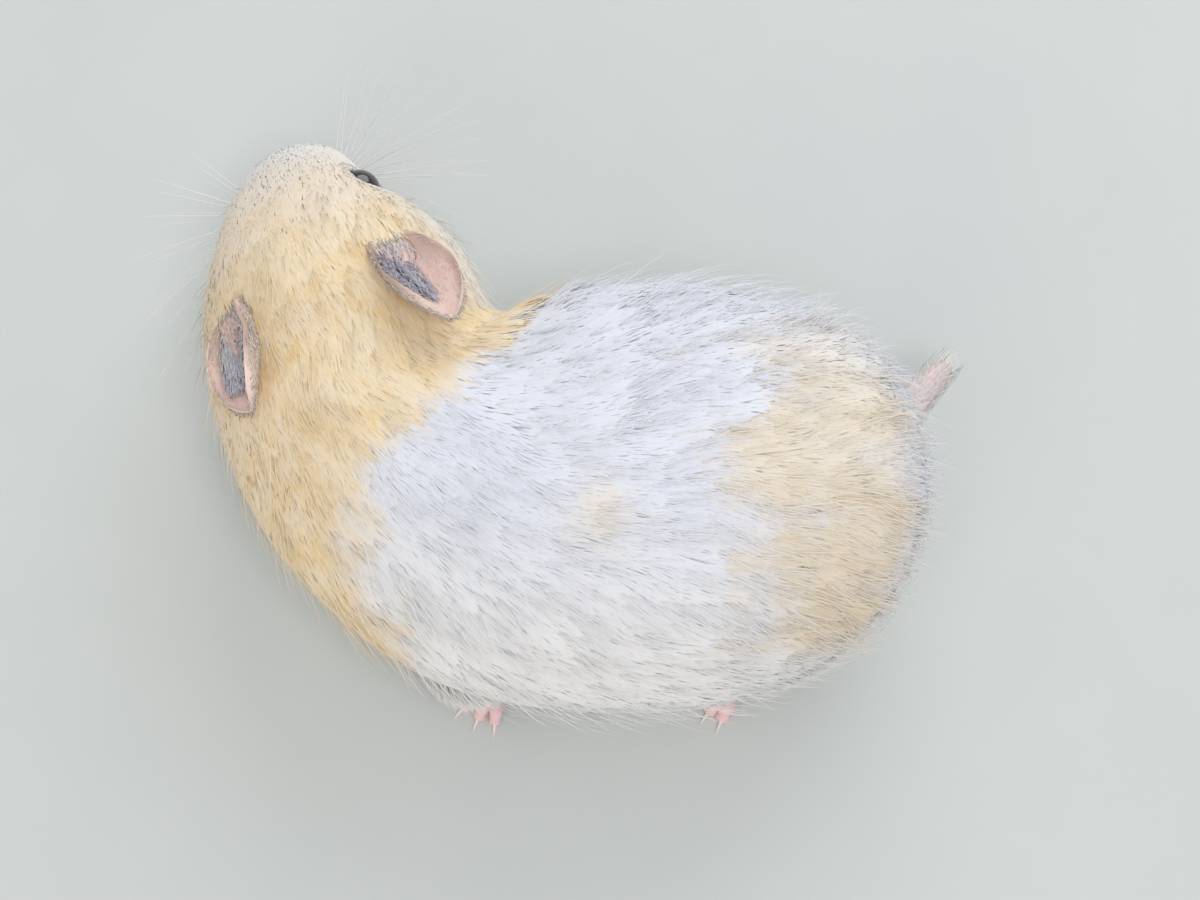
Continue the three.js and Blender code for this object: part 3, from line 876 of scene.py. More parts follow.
def eye_skin(side):
    """A ball whose front bulges, by a high power of the cosine."""
    polar, turn = ball_angles(40, 56)
    axis = eye_axis(side)
    across = unit(np.cross(axis, UPRIGHT))
    up = np.cross(across, axis)
    radius = EYE["radius"] + BULGE * np.maximum(0, np.cos(polar)) ** 6
    ball = (from_ball(polar, turn) * radius[..., None]) @ np.array([across, up, axis])
    ends = axis * np.array([[EYE["radius"] + BULGE], [-EYE["radius"]]])
    return closed_points(ball, *ends) + eye_middle(side)


def clouds_group():
    """A colour that drifts between two, by noise of a scale in object coordinates."""
    group, nodes, links, given, out = new_group("clouds", ["scale"], ["first", "second"])
    cloud = nodes.new("ShaderNodeTexNoise")
    links.new(nodes.new("ShaderNodeTexCoord").outputs["Object"], cloud.inputs["Vector"])
    links.new(given["scale"], cloud.inputs["Scale"])
    links.new(blend(nodes, links, cloud.outputs["Fac"], given["first"], given["second"]), out)
    return group


CLOUDS = clouds_group()


def clouded(name, scale, first, second, roughness):
    """A material whose colour is the clouds, with its shader."""
    material, nodes, links, shader = bare_material(name)
    group = nodes.new("ShaderNodeGroup")
    group.node_tree = CLOUDS
    for socket, value in (("scale", scale), ("first", paint(*first)), ("second", paint(*second))):
        group.inputs[socket].default_value = value
    links.new(group.outputs["Color"], shader.inputs["Base Color"])
    shader.inputs["Roughness"].default_value = roughness
    return material, shader


# Black with a trace of brown, under a clear wet coat.
EYE_MATERIAL, shader = clouded("eye", 700, (9, 6, 7), (34, 20, 18), 0.12)
shader.inputs["Coat Weight"].default_value = 1.0
shader.inputs["Coat Roughness"].default_value = 0.02
for side, name in ((1, "left"), (-1, "right")):
    mesh = new_mesh("eyeball_" + name, eye_skin(side), [f[:, ::-1] for f in closed_faces(40, 56)])
    eyeball = new_object("eyeball_" + name, mesh)
    mesh.materials.append(EYE_MATERIAL)
    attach(eyeball, "root")
    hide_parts("eye_" + name)

# ---------------------------------------------------------------- coat
# The coat is tens of thousands of fine tapered hairs, gathered in locks. They lie back from the
# nose and sweep down the flanks, longest on the trunk and shortest on the face. Each hair is a
# closed three-sided spike, and every piece of coat is one mesh of them.

# At these places on the spine: length and width in millimetres, hairs to the square millimetre,
# and how far a hair is drawn to the middle of its lock.
AT = np.array([0, 0.5, 1.2, 2.4, 3.6, 5.0, 6.5, 12.0])
HAIR = dict(
    length=[0.8, 1.1, 1.6, 2.6, 4.3, 6.4, 7.4, 8.0],
    width=[0.15, 0.17, 0.21, 0.24, 0.27, 0.30, 0.34, 0.35],
    density=[26, 24, 19.4, 14, 9.7, 6.8, 5.5, 5.5],
    pull=[0.2, 0.25, 0.3, 0.4, 0.45, 0.4, 0.3, 0.35],
)
LOCK_SIZES = (0.45, 0.8, 1.25)
# No hairs grow on the nose pad, within the edge of the lids, or inside a leg.
MOST_PAD, LID_EDGE, LEG_CORE = 0.35, 3.45, 0.72
DIE = dice.random((1 << 16, 7))
CELL_PRIMES = np.array([73856093, 19349663, 83492791])  # they give each cell its row of DIE


def locks(roots, size):
    """Sorts hairs into locks. Space is cut into cells with one point placed at random in each,
    and a hair goes with the nearest point. Gives that point and the lock's random numbers."""
    cells = np.floor(roots / size).astype(np.int64)
    nearest, middle, numbers = np.full(len(roots), np.inf), np.zeros_like(roots), np.zeros(len(roots), int)
    for step in np.ndindex(3, 3, 3):
        cell = cells + np.array(step) - 1
        number = (cell @ CELL_PRIMES) % len(DIE)
        point = (cell + DIE[number, :3]) * size
        away = ((point - roots) ** 2).sum(1)
        closer = away < nearest
        nearest, numbers = np.where(closer, away, nearest), np.where(closer, number, numbers)
        middle = np.where(closer[:, None], point, middle)
    return middle, DIE[numbers, 3:]


def lie_of_coat(points, normals, fall):
    """Which way hairs lie: back along the spine and down, by fall, laid flat on the skin."""
    share = on_spine(points)[0] / LAST
    _, tangent, _, up, _ = spine_at(share)
    flow = tangent - up * np.asarray(fall)[..., None]
    return unit(flow - normals * (flow * normals).sum(-1, keepdims=True) + 1e-9)


def chosen_of(hairs, chosen):
    """The chosen ones of a set of hairs. What is one number for all of them stays one number."""
    return {key: values[chosen] if np.ndim(values) else values for key, values in hairs.items()}


def hair_lines(hairs, scale, way):
    """Middle lines of hairs. Each leaves the skin steeply, bends over to lie along it and tucks
    its tip down, follows the curve of the body, and is drawn towards the middle of its lock."""
    way = np.asarray(way)
    reach = (hairs["length"] * scale)[:, None] * way
    rise = 1 - (1 - way) ** hairs["arch"] - np.asarray(hairs["tuck"])[..., None] * way**3
    sink = np.minimum(0.25, 0.08 + 0.05 * hairs["length"])[:, None]
    height = (hairs["lift"] * scale**0.8)[:, None] * rise - sink * (1 - way) ** 3
    height = height - hairs["curve"][:, None] * reach**2 / 2
    sway = (hairs["sway"] * scale)[:, None] * way**2
    side = np.cross(hairs["lie"], hairs["normal"])
    return (
        hairs["root"][:, None]
        + hairs["lie"][:, None] * reach[..., None]
        + hairs["normal"][:, None] * height[..., None]
        + side[:, None] * sway[..., None]
        + hairs["draw"][:, None] * (scale[:, None] * way**1.5)[..., None]
    )


def blocked(points):
    """True where a hair may not pass: over an eye, save from the brow, through an ear beyond its
    root, or under the floor."""
    stop = points[..., 2] < 0.05
    for side in (1, -1):
        away, out = round_eye(points, side)
        brow = (points - eye_middle(side)) @ HEAD_UP
        stop |= (out > 0) & (away < 2.9 - 1.9 * ramp(0.8, 2.0, brow))
        stop |= away**2 + out**2 < (EYE["radius"] + 0.05) ** 2
        way, outer, height = in_ear_axes(points, side)
        half, bend = ear_cup(way)
        radius = half / bend
        wide = np.abs(outer) < radius * np.sin(np.minimum(bend, np.pi / 2)) + 0.15
        floor = radius - np.sqrt(np.maximum(0, radius**2 - outer**2))
        floor -= EAR["sink"] * ramp(0.12, EAR["root"], way)
        stop |= (way > 0.1) & (way < 1.02) & wide & (height > floor - 0.45) & (height < floor + 5)
    return stop


CUTS = (1.0, 0.72, 0.5, 0.35, 0.25)  # the lengths that are tried, as shares of the whole


def trim(hairs):
    """Shortens hairs until they stay clear, and drops those that never do."""
    scale, done = np.ones(len(hairs["root"])), np.zeros(len(hairs["root"]), bool)
    for size in CUTS:
        left = np.flatnonzero(~done)
        some = chosen_of(hairs, left)
        clear = ~blocked(hair_lines(some, np.full(len(left), size), [0.25, 0.5, 0.75, 1.0])).any(1)
        scale[left[clear]], done[left[clear]] = size, True
    hairs["scale"] = scale
    return chosen_of(hairs, done)


# Where a hair has its rings of points, from root to tip, and how wide it is there. Its section is
# wider and lower than a round one by FLAT. Its patch of the map reaches PATCH each way, and the map
# keeps MARGIN clear all round. MOST_LEAN limits how far normals that face the skin turn outwards.
FLAT, PATCH, MARGIN, MOST_LEAN = (1.3, 0.38), 0.0015, 0.03, 0.7
TUFT = ([0.0, 0.36, 0.7, 1.0], [1.9, 1.4, 0.8])
SHORT = ([0.0, 0.5, 1.0], [1.6, 1.0])
WHISKER = ([0.0, 0.1, 0.22, 0.36, 0.52, 0.7, 0.86, 1.0], [1.0, 1.0, 0.9, 0.75, 0.6, 0.42, 0.28])


def hair_mesh(name, hairs, shape):
    """One mesh of closed spikes: rings of three points on each hair's line, narrowing to its tip,
    lit much as the skin below them would be. Each hair's map is a small patch where its root is."""
    ways, full = np.array(shape[0]), np.array(shape[1])
    rings = len(full)
    line = hair_lines(hairs, hairs["scale"], ways)
    count = len(line)
    ahead = unit(np.gradient(line, axis=1))[:, :-1]
    side = unit(np.cross(ahead, hairs["normal"][:, None]))
    up = np.cross(side, ahead)
    turn = hairs["roll"][:, None, None] + np.radians([90, 210, 330])
    wide = (hairs["width"] * np.sqrt(hairs["scale"]))[:, None, None] / 2 * full[None, :, None]
    ring = (
        line[:, :-1, None]
        + side[:, :, None] * (np.cos(turn) * wide)[..., None] * FLAT[0]
        + up[:, :, None] * (np.sin(turn) * wide)[..., None] * FLAT[1]
    )
    points = np.concatenate([ring.reshape(count, -1, 3), line[:, -1:]], 1)
    each = 3 * rings + 1
    row, column = np.arange(rings - 1)[:, None] * 3, np.arange(3)[None]
    over = (column + 1) % 3
    quads = np.stack([row + column, row + 3 + column, row + 3 + over, row + over], -1).reshape(-1, 4)
    last = 3 * rings - 3
    tip = np.stack([last + over[0], last + column[0], np.full(3, last + 3)], -1)
    pattern = [quads, np.vstack([tip, [[0, 1, 2]]])]
    first = np.arange(count) * each
    faces = [(first[:, None, None] + f[None]).reshape(-1, f.shape[1]) for f in pattern]
    mesh = new_mesh(name, points.reshape(-1, 3), faces)
    across = np.append(np.tile([-PATCH, 0, PATCH], rings), 0)
    down = np.append(np.repeat(np.linspace(-PATCH, PATCH * 0.6, rings), 3), PATCH)
    low, high = hairs["map"].min(0), hairs["map"].max(0)
    patch = MARGIN + (1 - 2 * MARGIN) * (hairs["map"] - low) / (high - low)
    patch = patch[:, None] + np.stack([across, down], -1)
    corner = np.concatenate([f.ravel() for f in faces])
    patch = patch.reshape(-1, 2)[corner].astype(np.float32)
    mesh.uv_layers.new(name="OFBake").data.foreach_set("uv", patch.ravel())
    from_line = unit(ring - line[:, :-1, None])
    skinward = -(from_line * hairs["normal"][:, None, None]).sum(-1, keepdims=True)
    lean = np.minimum(hairs["soft"], MOST_LEAN / np.maximum(skinward, 0.1))
    facing = from_line + hairs["normal"][:, None, None] * lean
    facing = np.concatenate([facing.reshape(count, -1, 3), hairs["normal"][:, None]], 1)
    kept = mesh.attributes.new("custom_normal", "FLOAT_VECTOR", "POINT")
    kept.data.foreach_set("vector", unit(facing).astype(np.float32).ravel())
    along = np.append(np.repeat(ways[:-1], 3), 1.0)
    for kept in ("cream", "grey", "shade"):
        write(mesh, kept, np.repeat(hairs[kept], each))
    write(mesh, "along", np.tile(along, count))
    return mesh


def coat_material():
    """Soft hair: the markings' colour, little gloss, and a pale sheen where it is seen flat on."""
    material, nodes, links, shader = bare_material("coat")
    links.new(coat_colour(nodes, links), shader.inputs["Base Color"])
    vary_roughness(nodes, links, shader, kept_number(nodes, "shade"), 0.55, 0.75)
    shader.inputs["Specular IOR Level"].default_value = 0.3
    shader.inputs["Sheen Weight"].default_value = 0.15
    shader.inputs["Sheen Roughness"].default_value = 0.4
    return material


COAT_MATERIAL = coat_material()


def coat_piece(name, hairs, shape, material=COAT_MATERIAL):
    """Hairs as one piece of the coat."""
    made = new_object(name, hair_mesh(name, hairs, shape))
    made.data.materials.append(material)
    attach(made, "root")


def spread(form, rows, columns, density):
    """Positions of hairs, from 0 to 1 both ways, over the surface that form(way, across) gives. It
    is cut into cells, and a steady count of hairs is laid over them by area times density."""
    way, across = np.meshgrid(np.linspace(0, 1, rows + 1), np.linspace(0, 1, columns + 1), indexing="ij")
    grid = form(way, across)
    down, over = grid[1:, :-1] - grid[:-1, :-1], grid[:-1, 1:] - grid[:-1, :-1]
    area = np.linalg.norm(np.cross(down, over), axis=-1)
    edges = np.cumsum((area * density(way[1:, 1:], across[1:, 1:])).ravel())
    total = int(edges[-1])
    picks = np.searchsorted(edges, (np.arange(total) + dice.random(total)) / total * edges[-1])
    row, column = np.divmod(np.minimum(picks, area.size - 1), columns)
    return (row + dice.random(total)) / rows, (column + dice.random(total)) / columns


BODY_ROWS, BODY_COLUMNS = 420, 180  # cells of the body that its hairs are spread over


def body_density(share, turn):
    """Hairs to the square millimetre at the middle of a cell, from its far end: by the place on
    the spine, and fewer below."""
    place = (share - 0.5 / BODY_ROWS) * LAST
    return np.interp(place, AT, HAIR["density"]) * (1 - 0.65 * ramp(95, 140, np.abs(angle_at(turn))))


def hair_roots():
    """Shares, turns, places and directions out of the skin for the hairs of head, neck and trunk.
    On the face the directions follow its folds, save close to the eyes."""
    share, turn = spread(body_form, BODY_ROWS, BODY_COLUMNS, body_density)
    root, normal = skin_form(share, turn)
    folded = np.flatnonzero((share * LAST > 0.02) & (share * LAST < 2.6))
    across = slopes(lambda *at: skin_form(*at)[0], share[folded], turn[folded], 4e-4, 1.6e-3)
    by_eye = [round_eye(root[folded], side)[0] for side in (1, -1)]
    clear = ramp(4.0, 5.5, np.minimum(*by_eye))[:, None]
    normal[folded] = unit(unit(np.cross(*across)) * clear + normal[folded] * (1 - clear))
    keep = nose_pad(root) < MOST_PAD
    for side in (1, -1):
        away, out = round_eye(root, side)
        keep &= (away > LID_EDGE) | (out < 0)
    for at, radii, lean in LEGS.values():
        inside = ((root - at) @ leg_axes(lean).T / (np.array(radii) - LEG_COAT)) ** 2
        keep &= inside.sum(1) > LEG_CORE
    return share[keep], turn[keep], root[keep], normal[keep]


def sized_locks(root, place):
    """The middles and random numbers of hairs' locks. The locks are small on the face and large on
    the trunk, and neighbouring sizes are mixed."""
    size = np.interp(place, AT, [0, 0, 0.3, 1, 1.3, 1.8, 2, 2]) + dice.uniform(-0.4, 0.4, len(root))
    middle, numbers = locks(root, LOCK_SIZES[0])
    for step, lock in enumerate(LOCK_SIZES[1:]):
        wider = (size > step + 0.5)[:, None]
        found, other = locks(root, lock)
        middle, numbers = np.where(wider, found, middle), np.where(wider, other, numbers)
    return middle, numbers


def bend_under(share, turn, normal, lie, reach):
    """How much the body bends under a hair, for each millimetre: the change of the direction out
    of it over a reach along the hair, which the slopes of the form turn into share and turn."""
    step = 1e-3
    along, around = (slope / (2 * step) for slope in slopes(body_form, share, turn, step, step))
    further = share + reach * (lie * along).sum(1) / np.maximum((along**2).sum(1), 1)
    round_it = reach * (lie * around).sum(1) / np.maximum((around**2).sum(1), 1)
    there = body_normals(np.clip(further, 0, 1), turn + np.clip(round_it, -0.2, 0.2))
    return ((there - normal) * lie).sum(1) / reach


def body_hairs():
    """All hairs of head, neck and trunk, with what each needs to be drawn."""
    share, turn, root, normal = hair_roots()
    place, angle, count = share * LAST, angle_at(turn), len(root)
    fall = np.interp(place, [0, 3, 5, 8, 12], [0.1, 0.25, 0.35, 0.5, 0.8])
    middle, numbers = sized_locks(root, place)
    bend = 0.16 * drift(root, 11.0) + 0.22 * (numbers[:, 0] - 0.5) + 0.09 * dice.normal(size=count)
    lie = turned(lie_of_coat(root, normal, fall), normal, bend)
    length = np.interp(place, AT, HAIR["length"]) * (1 - 0.3 * ramp(100, 140, np.abs(angle)))
    length *= (0.88 + 0.18 * numbers[:, 1]) * dice.uniform(0.86, 1.12, count)
    curve = bend_under(share, turn, normal, lie, length / 2)
    draw = middle - root
    draw -= normal * (draw * normal).sum(1, keepdims=True)
    pull = np.interp(place, AT, HAIR["pull"]) * dice.uniform(0.5, 1.2, count)
    cream = cream_share(root, place, angle)
    shade = 0.35 + 0.22 * drift(root, 6.0) + 0.55 * (numbers[:, 3] - 0.5) + 0.16 * dice.normal(size=count)
    # On white hairs the shade is painted light: cool over the back, warm in the shade low on the left.
    shade = cream * shade + (1 - cream) * (warmth_and_painted_light(place, angle) + 0.1 * dice.normal(size=count))
    width = np.interp(place, AT, HAIR["width"]) * dice.uniform(0.8, 1.15, count)
    lift = coat_depth(place, angle) * (0.8 + 0.2 * numbers[:, 2]) * dice.uniform(0.9, 1.06, count)
    return trim(dict(
        root=root,
        normal=normal,
        lie=lie,
        length=length,
        width=width,
        lift=lift * np.interp(place, [1, 4], [0.6, 1]) + 0.05,
        arch=2.0,
        tuck=np.interp(place, [1, 3, 5], [0.75, 0.62, 0.5]),
        soft=4.0,
        curve=np.clip(curve, -0.01, np.interp(place, [2, 4], [0.17, 0.09])),
        sway=length * 0.06 * dice.normal(size=count),
        draw=draw * pull[:, None],
        roll=dice.normal(0, 0.15, count),
        cream=cream,
        grey=np.zeros(count),
        shade=np.clip(shade, 0, 1),
        map=np.stack([share, (turn + 0.25) % 1], -1),
        place=place,
        angle=angle,
    ))


hairs = body_hairs()
place, angle = hairs["place"], hairs["angle"]
# From and to along the spine, from and to round it in degrees, the shape of hair and the slot.
REGIONS = dict(
    coat_face=(-1, 2.3, -181, 181, SHORT, "cream_coat"),
    coat_head_left=(2.3, 4.2, -181, 0, TUFT, "cream_coat"),
    coat_head_right=(2.3, 4.2, 0, 181, TUFT, "cream_coat"),
    coat_neck_left=(4.2, 6.2, -112, 0, TUFT, "cream_coat"),
    coat_neck_right=(4.2, 6.2, 0, 112, TUFT, "cream_coat"),
    coat_band_left=(6.2, 9.1, -112, -32, TUFT, "white_coat"),
    coat_band_top=(6.2, 9.1, -32, 32, TUFT, "white_coat"),
    coat_band_right=(6.2, 9.1, 32, 112, TUFT, "white_coat"),
    coat_rump_left=(9.1, 14, -112, 0, TUFT, "cream_coat"),
    coat_rump_right=(9.1, 14, 0, 112, TUFT, "cream_coat"),
)
# The pieces run into each other along their borders, so that no line shows between them.
mixed_place = place + np.interp(place, [1, 3], [0.1, 0.22]) * dice.normal(size=len(place))
mixed_angle = angle + 6 * dice.normal(size=len(angle)) * (np.abs(angle) < 150)
for name, (first, last, low, high, shape, slot) in REGIONS.items():
    within = (mixed_place >= first) & (mixed_place < last) & (mixed_angle >= low) & (mixed_angle < high)
    coat_piece(name, chosen_of(hairs, within), shape)
under = (mixed_place >= 4.2) & (np.abs(mixed_angle) >= 112)
coat_piece("coat_belly", chosen_of(hairs, under), SHORT)

# Single long hairs stand out of the coat, most of them over the back and rump.
share = np.interp(place, [1.2, 3, 5, 8, 9.5, 12], [0, 0.03, 0.035, 0.04, 0.065, 0.08])
stand = dice.random(len(place)) < share
guard = chosen_of(hairs, stand & (np.abs(angle) < 125) & (hairs["scale"] == 1))
count = len(guard["root"])
guard["length"] = guard["length"] * dice.uniform(1.2, 1.6, count)
guard["lift"] = guard["lift"] * dice.uniform(1.3, 3.0, count)
guard["lift"] += guard["length"] * dice.uniform(0, 0.2, count)
guard["width"] = np.interp(guard["place"], [1, 4], [0.06, 0.1])
guard["arch"] = 1.4
guard["tuck"] = 0.0
guard["soft"] = 0.4
guard["sway"] = guard["length"] * 0.1 * dice.normal(size=count)
guard["draw"] = guard["draw"] * 0
coat_piece("coat_long_hairs", guard, TUFT)


def hair_set(root, normal, lie, length, width, lift, grey, place, stray=0.2, keep_off=True, soft=0.0):
    """Hairs that grow elsewhere than on the body, with the same numbers as those: each of the
    values is one number or an array of them."""
    count = len(root)
    lie = unit(lie - normal * (lie * normal).sum(-1, keepdims=True) + 1e-9)

    def full(value):
        """A value varied a little from hair to hair."""
        return value * dice.uniform(0.85, 1.15, count)

    at, angle, _ = on_spine(root)
    lock, numbers = locks(root, 0.6)
    made = dict(
        root=root,
        normal=normal,
        lie=turned(lie, normal, stray * dice.normal(size=count)),
        length=full(length),
        width=full(width),
        lift=full(lift),
        arch=1.8,
        tuck=0.2,
        soft=soft,
        curve=np.zeros(count),
        sway=full(length) * 0.06 * dice.normal(size=count),
        draw=(lock - root) * 0.35,
        roll=dice.normal(0, 0.3, count),
        cream=cream_share(root, at, angle),
        grey=np.zeros(count) + grey,
        # shade: painted light on white hairs, cool above and warm in the shade low on the left, with random
        # tone.
        shade=np.clip(warmth_and_painted_light(at, angle) + 0.3 * (numbers[:, 0] - 0.5) + 0.1 * dice.normal(size=count), 0, 1),
        map=place,
        scale=np.ones(count),
    )
    return trim(made) if keep_off else made


def together(sets):
    """Several sets of hairs as one. What is one number in the first set is so in all."""
    first = sets[0]
    return {
        name: np.concatenate([s[name] for s in sets]) if np.ndim(first[name]) else first[name]
        for name in first
    }


def scatter(form, rows, columns, density):
    """Places of hairs spread over a surface, directions across it, and their positions."""
    way, across = spread(form, rows, columns, density)
    return form(way, across), unit(np.cross(*slopes(form, way, across, 1e-3, 1e-3))), way, across


def facing(normals, towards):
    """Normals turned to the side of their surface that a direction points to."""
    return normals * np.sign((normals * towards).sum(1, keepdims=True))


def quarter(number, way, across):
    """Places for hairs' maps in one quarter of the whole, numbered 0 to 3."""
    return np.stack([way * 0.45 + 0.5 * (number % 2), across * 0.45 + 0.5 * (number // 2)], -1)


# The legs have short fur that lies down and back.
sets = []
for number, name in enumerate(LEGS):
    def form(way, turn):
        """The leg's skin, by shares of its two angles."""
        return leg_form(name, np.pi * way, 2 * np.pi * turn)[0]

    root, normal, way, turn = scatter(form, 60, 60, lambda way, turn: 5.0 + 0 * way)
    seen = (on_spine(root)[2] > 0.92) & (root[:, 2] > 1.0)
    root, normal, way, turn = root[seen], normal[seen], way[seen], turn[seen]
    high = root[:, 2]
    down = np.array([-0.5, 0.0, -1.0]) * ramp(18, 9, high)[:, None]
    lie = lie_of_coat(root, normal, 0.5) * ramp(7, 16, high)[:, None] + down
    length = np.interp(high, [2, 8, 16], [1.5, 3.6, 6.5])
    width = np.interp(high, [2, 8, 16], [0.16, 0.25, 0.33])
    lift = np.interp(high, [2, 8, 16], [0.5, 1.0, 1.7])
    sets.append(hair_set(root, normal, lie, length, width, lift, 0.0, quarter(number, way, turn), soft=4.0))
coat_piece("coat_legs", together(sets), SHORT)

# Ears: dark hairs with pale tips run up the inner half of the hollow, and stand on the head's
# skin at its root too. Soft pale down covers the rest, and cream fur the back.


def ear_face(side, out):
    """One face of an ear, as a form that runs from 0 to 1 both ways."""
    return lambda way, across: ear_form(side, way, 2 * across - 1, out)


sets = []
for number, side in enumerate((1, -1)):
    _, along, hollow, outer = ear_axes(side)

    def front_density(way, across):
        """Thick on the dark patch, thin on bare skin and thicker along the rim."""
        across = 2 * across - 1
        return 15 * dark_of_ear(side, way, across) + 1.5 + 5 * ramp(0.85, 1.0, np.abs(across))

    root, normal, way, across = scatter(ear_face(side, EAR["wall"] / 2), 50, 40, front_density)
    at = quarter(2 * number, way, across)
    across = 2 * across - 1
    dark = dark_of_ear(side, way, across)
    lie = along + outer * (0.5 * across * ramp(0.85, 1.0, np.abs(across)) - 0.2 * dark)[:, None]
    streak = dice.random(len(root)) < (0.25 if side < 0 else 0.7)
    grey = np.where(dark > 0.35, np.where(streak, 0.15, 0.95), 0.0)
    length, width, lift = 0.9 + 2.3 * dark, 0.07 + 0.06 * dark, 0.2 + 0.5 * dark
    down = hair_set(root, facing(normal, hollow), lie, length, width, lift, grey, at, 0.15, False)
    down["cream"] = 0.35 * (1 - dark)
    sets.append(down)

    way, offset, height = in_ear_axes(skin_points, side)
    half, bend = ear_cup(way)
    in_cup = (way > -0.03) & (way < 0.4) & (np.abs(offset) < half / bend - 0.4)
    in_cup &= (height > -1.5) & (height < 4)
    chosen = np.flatnonzero(in_cup & (skin_parts["body"] > 0.9))
    chosen = chosen[dice.random(len(chosen)) < 0.9]
    root = skin_points[chosen]
    normal = body_normals(skin_place[chosen] / LAST, (skin_angle[chosen] + 90) / 360)
    inner = ramp(1.6, 0.4, offset[chosen]) * ramp(-0.06, 0.08, way[chosen])
    streak = np.where(dice.random(len(root)) < 0.5, 0.2, 0.9)
    at = 0.46 + 0.02 * dice.random(len(root)), 0.2 + 0.1 * dice.random(len(root)) + number / 2
    lie, length, grey = along + 0 * root, 2.2 + 0.8 * inner, streak * inner
    tuft = hair_set(root, normal, lie, length, 0.14, 0.6, grey, np.stack(at, -1), 0.25, False)
    tuft["cream"] = 0.1 + 0 * inner
    sets.append(tuft)

    def back_density(way, across):
        """Even, and none at the rim."""
        return 12.0 * ramp(0.92, 0.78, np.abs(2 * across - 1))

    root, normal, way, across = scatter(ear_face(side, -EAR["wall"] / 2), 50, 40, back_density)
    normal, at = facing(normal, -hollow), quarter(2 * number + 1, way, across)
    behind = hair_set(root, normal, along + 0 * root, 1.0, 0.1, 0.15, 0.0, at, 0.25, False)
    behind["cream"] = 0.45 + 0 * way
    sets.append(behind)
coat_piece("coat_ears", together(sets), SHORT)

# The tail is thinly furred, thickest at its root, with a brush of longer hairs at its tip.


def tail_form(way, turn):
    """Places on the tail: circles round its middle line."""
    flow = unit(TAIL_TIP - TAIL_ROOT)
    side = unit(np.cross(flow, UPRIGHT))
    middle, radius = tail_line(way)
    ring = side * np.cos(2 * np.pi * turn)[..., None]
    ring = ring + np.cross(side, flow) * np.sin(2 * np.pi * turn)[..., None]
    return middle + ring * radius[..., None]


def tail_density(way, turn):
    """Falls off from the root, and none on the very tip."""
    return np.interp(way, [0, 0.25, 0.9, 0.94], [8.5, 4.5, 4.5, 0]) + 0 * turn


root, normal, way, turn = scatter(tail_form, 60, 40, tail_density)
centre = TAIL_ROOT + (TAIL_TIP - TAIL_ROOT) * way[:, None]
normal = facing(normal, root - centre)
length = np.interp(way, [0, 0.4, 0.7, 0.9], [4.0, 2.6, 2.4, 3.8])
lie, at = unit(TAIL_TIP - TAIL_ROOT) + 0 * root, np.stack([way, turn], -1)
down = hair_set(root, normal, lie, length, 0.07, length * 0.3, 0.0, at, 0.2, True, 2.0)
down["cream"] = np.full(len(down["root"]), 0.35)
coat_piece("coat_tail", down, SHORT)

# Paws: a little pale hair lies over their backs and toes.
sets = []
for number, name in enumerate(PAWS):
    _, forward, _, _, shape = paw_axes(name)

    def form(way, across):
        """The upper side of the sole's skin."""
        wide, tall, _ = palm_size(shape, way)
        turn = np.pi * (0.06 + 0.88 * across)
        return on_sole(name, way, wide * np.cos(turn), np.sin(turn) * tall + SOLE["middle"])

    root, normal, way, across = scatter(form, 30, 30, lambda way, across: 7.0 + 0 * way)
    normal, at = facing(normal, UPRIGHT), quarter(number, way, across)
    sets.append(hair_set(root, normal, forward + 0 * root, 1.4, 0.09, 0.35, 0.0, at))
coat_piece("coat_paws", together(sets), SHORT)

# ---------------------------------------------------------------- whiskers
# Long, stiff, white and tapered hairs, in four rows of five on each lip, each rooted a millimetre
# deep. They spread forwards, out and back, and curve.
WHISKER_ROOT = 1.0
MOST_AHEAD, MOST_RIGHT = 62, 51  # how far they may reach from the middle of the animal

root, heading, bend, length = [], [], [], []
for side in (1, -1):
    for row, column in np.ndindex(4, 5):
        beside = NOSE_TIP + head_step(2.4 + column * 1.35 + 0.3 * row, side * 12, 0.6 - row * 0.85)
        place, angle, _ = on_spine(beside[None])
        root.append(body_form(place / LAST, (angle + 90) / 360 % 1)[0])
        fan = np.radians(28 + column * 22 + dice.uniform(-8, 8))
        up = 0.5 - 0.28 * row + dice.uniform(-0.1, 0.1)
        heading.append(head_step(-np.cos(fan), side * np.sin(fan), up))
        bend.append(head_step(0.35, 0, dice.uniform(-0.1, 0.35)))
        length.append((13 + 3.2 * column - 1.2 * row) * dice.uniform(0.85, 1.15))
root, heading, bend, length = np.array(root), unit(np.array(heading)), np.array(bend), np.array(length)
count = len(root)
away = unit(bend - heading * (bend * heading).sum(1, keepdims=True))
reach = heading * length[:, None] + away * (0.01 * length**2)[:, None]
ahead, right = (root - CENTRE)[:, 0], -(root - CENTRE)[:, 1]
room = [
    (MOST_AHEAD - ahead) / np.maximum(reach[:, 0], 1e-3),
    (MOST_RIGHT - right) / np.maximum(-reach[:, 1], 1e-3),
]
length = length * np.minimum(1, np.min(room, axis=0))
whiskers = dict(
    root=root - heading * WHISKER_ROOT,
    normal=away,
    lie=heading,
    length=length,
    width=np.full(count, 0.17),
    lift=np.zeros(count),
    arch=1.0,
    tuck=0.0,
    soft=0.0,
    curve=-0.022 * dice.uniform(0.4, 1.4, count),
    sway=np.zeros(count),
    draw=np.zeros((count, 3)),
    roll=np.zeros(count),
    cream=np.zeros(count),
    grey=np.zeros(count),
    shade=np.zeros(count),
    map=np.stack([np.arange(count) % 8 / 7, np.arange(count) // 8 / 7], -1),
    scale=np.ones(count),
)


def whisker_material():
    """Stiff glossy hair, clear white to its tip."""
    material, nodes, links, shader = bare_material("whisker")
    colour = blend(nodes, links, kept_number(nodes, "along"), paint(242, 238, 234), paint(255, 255, 255))
    links.new(colour, shader.inputs["Base Color"])
    shader.inputs["Roughness"].default_value = 0.35
    shader.inputs["Sheen Weight"].default_value = 0.3
    return material


coat_piece("whiskers", whiskers, WHISKER, whisker_material())

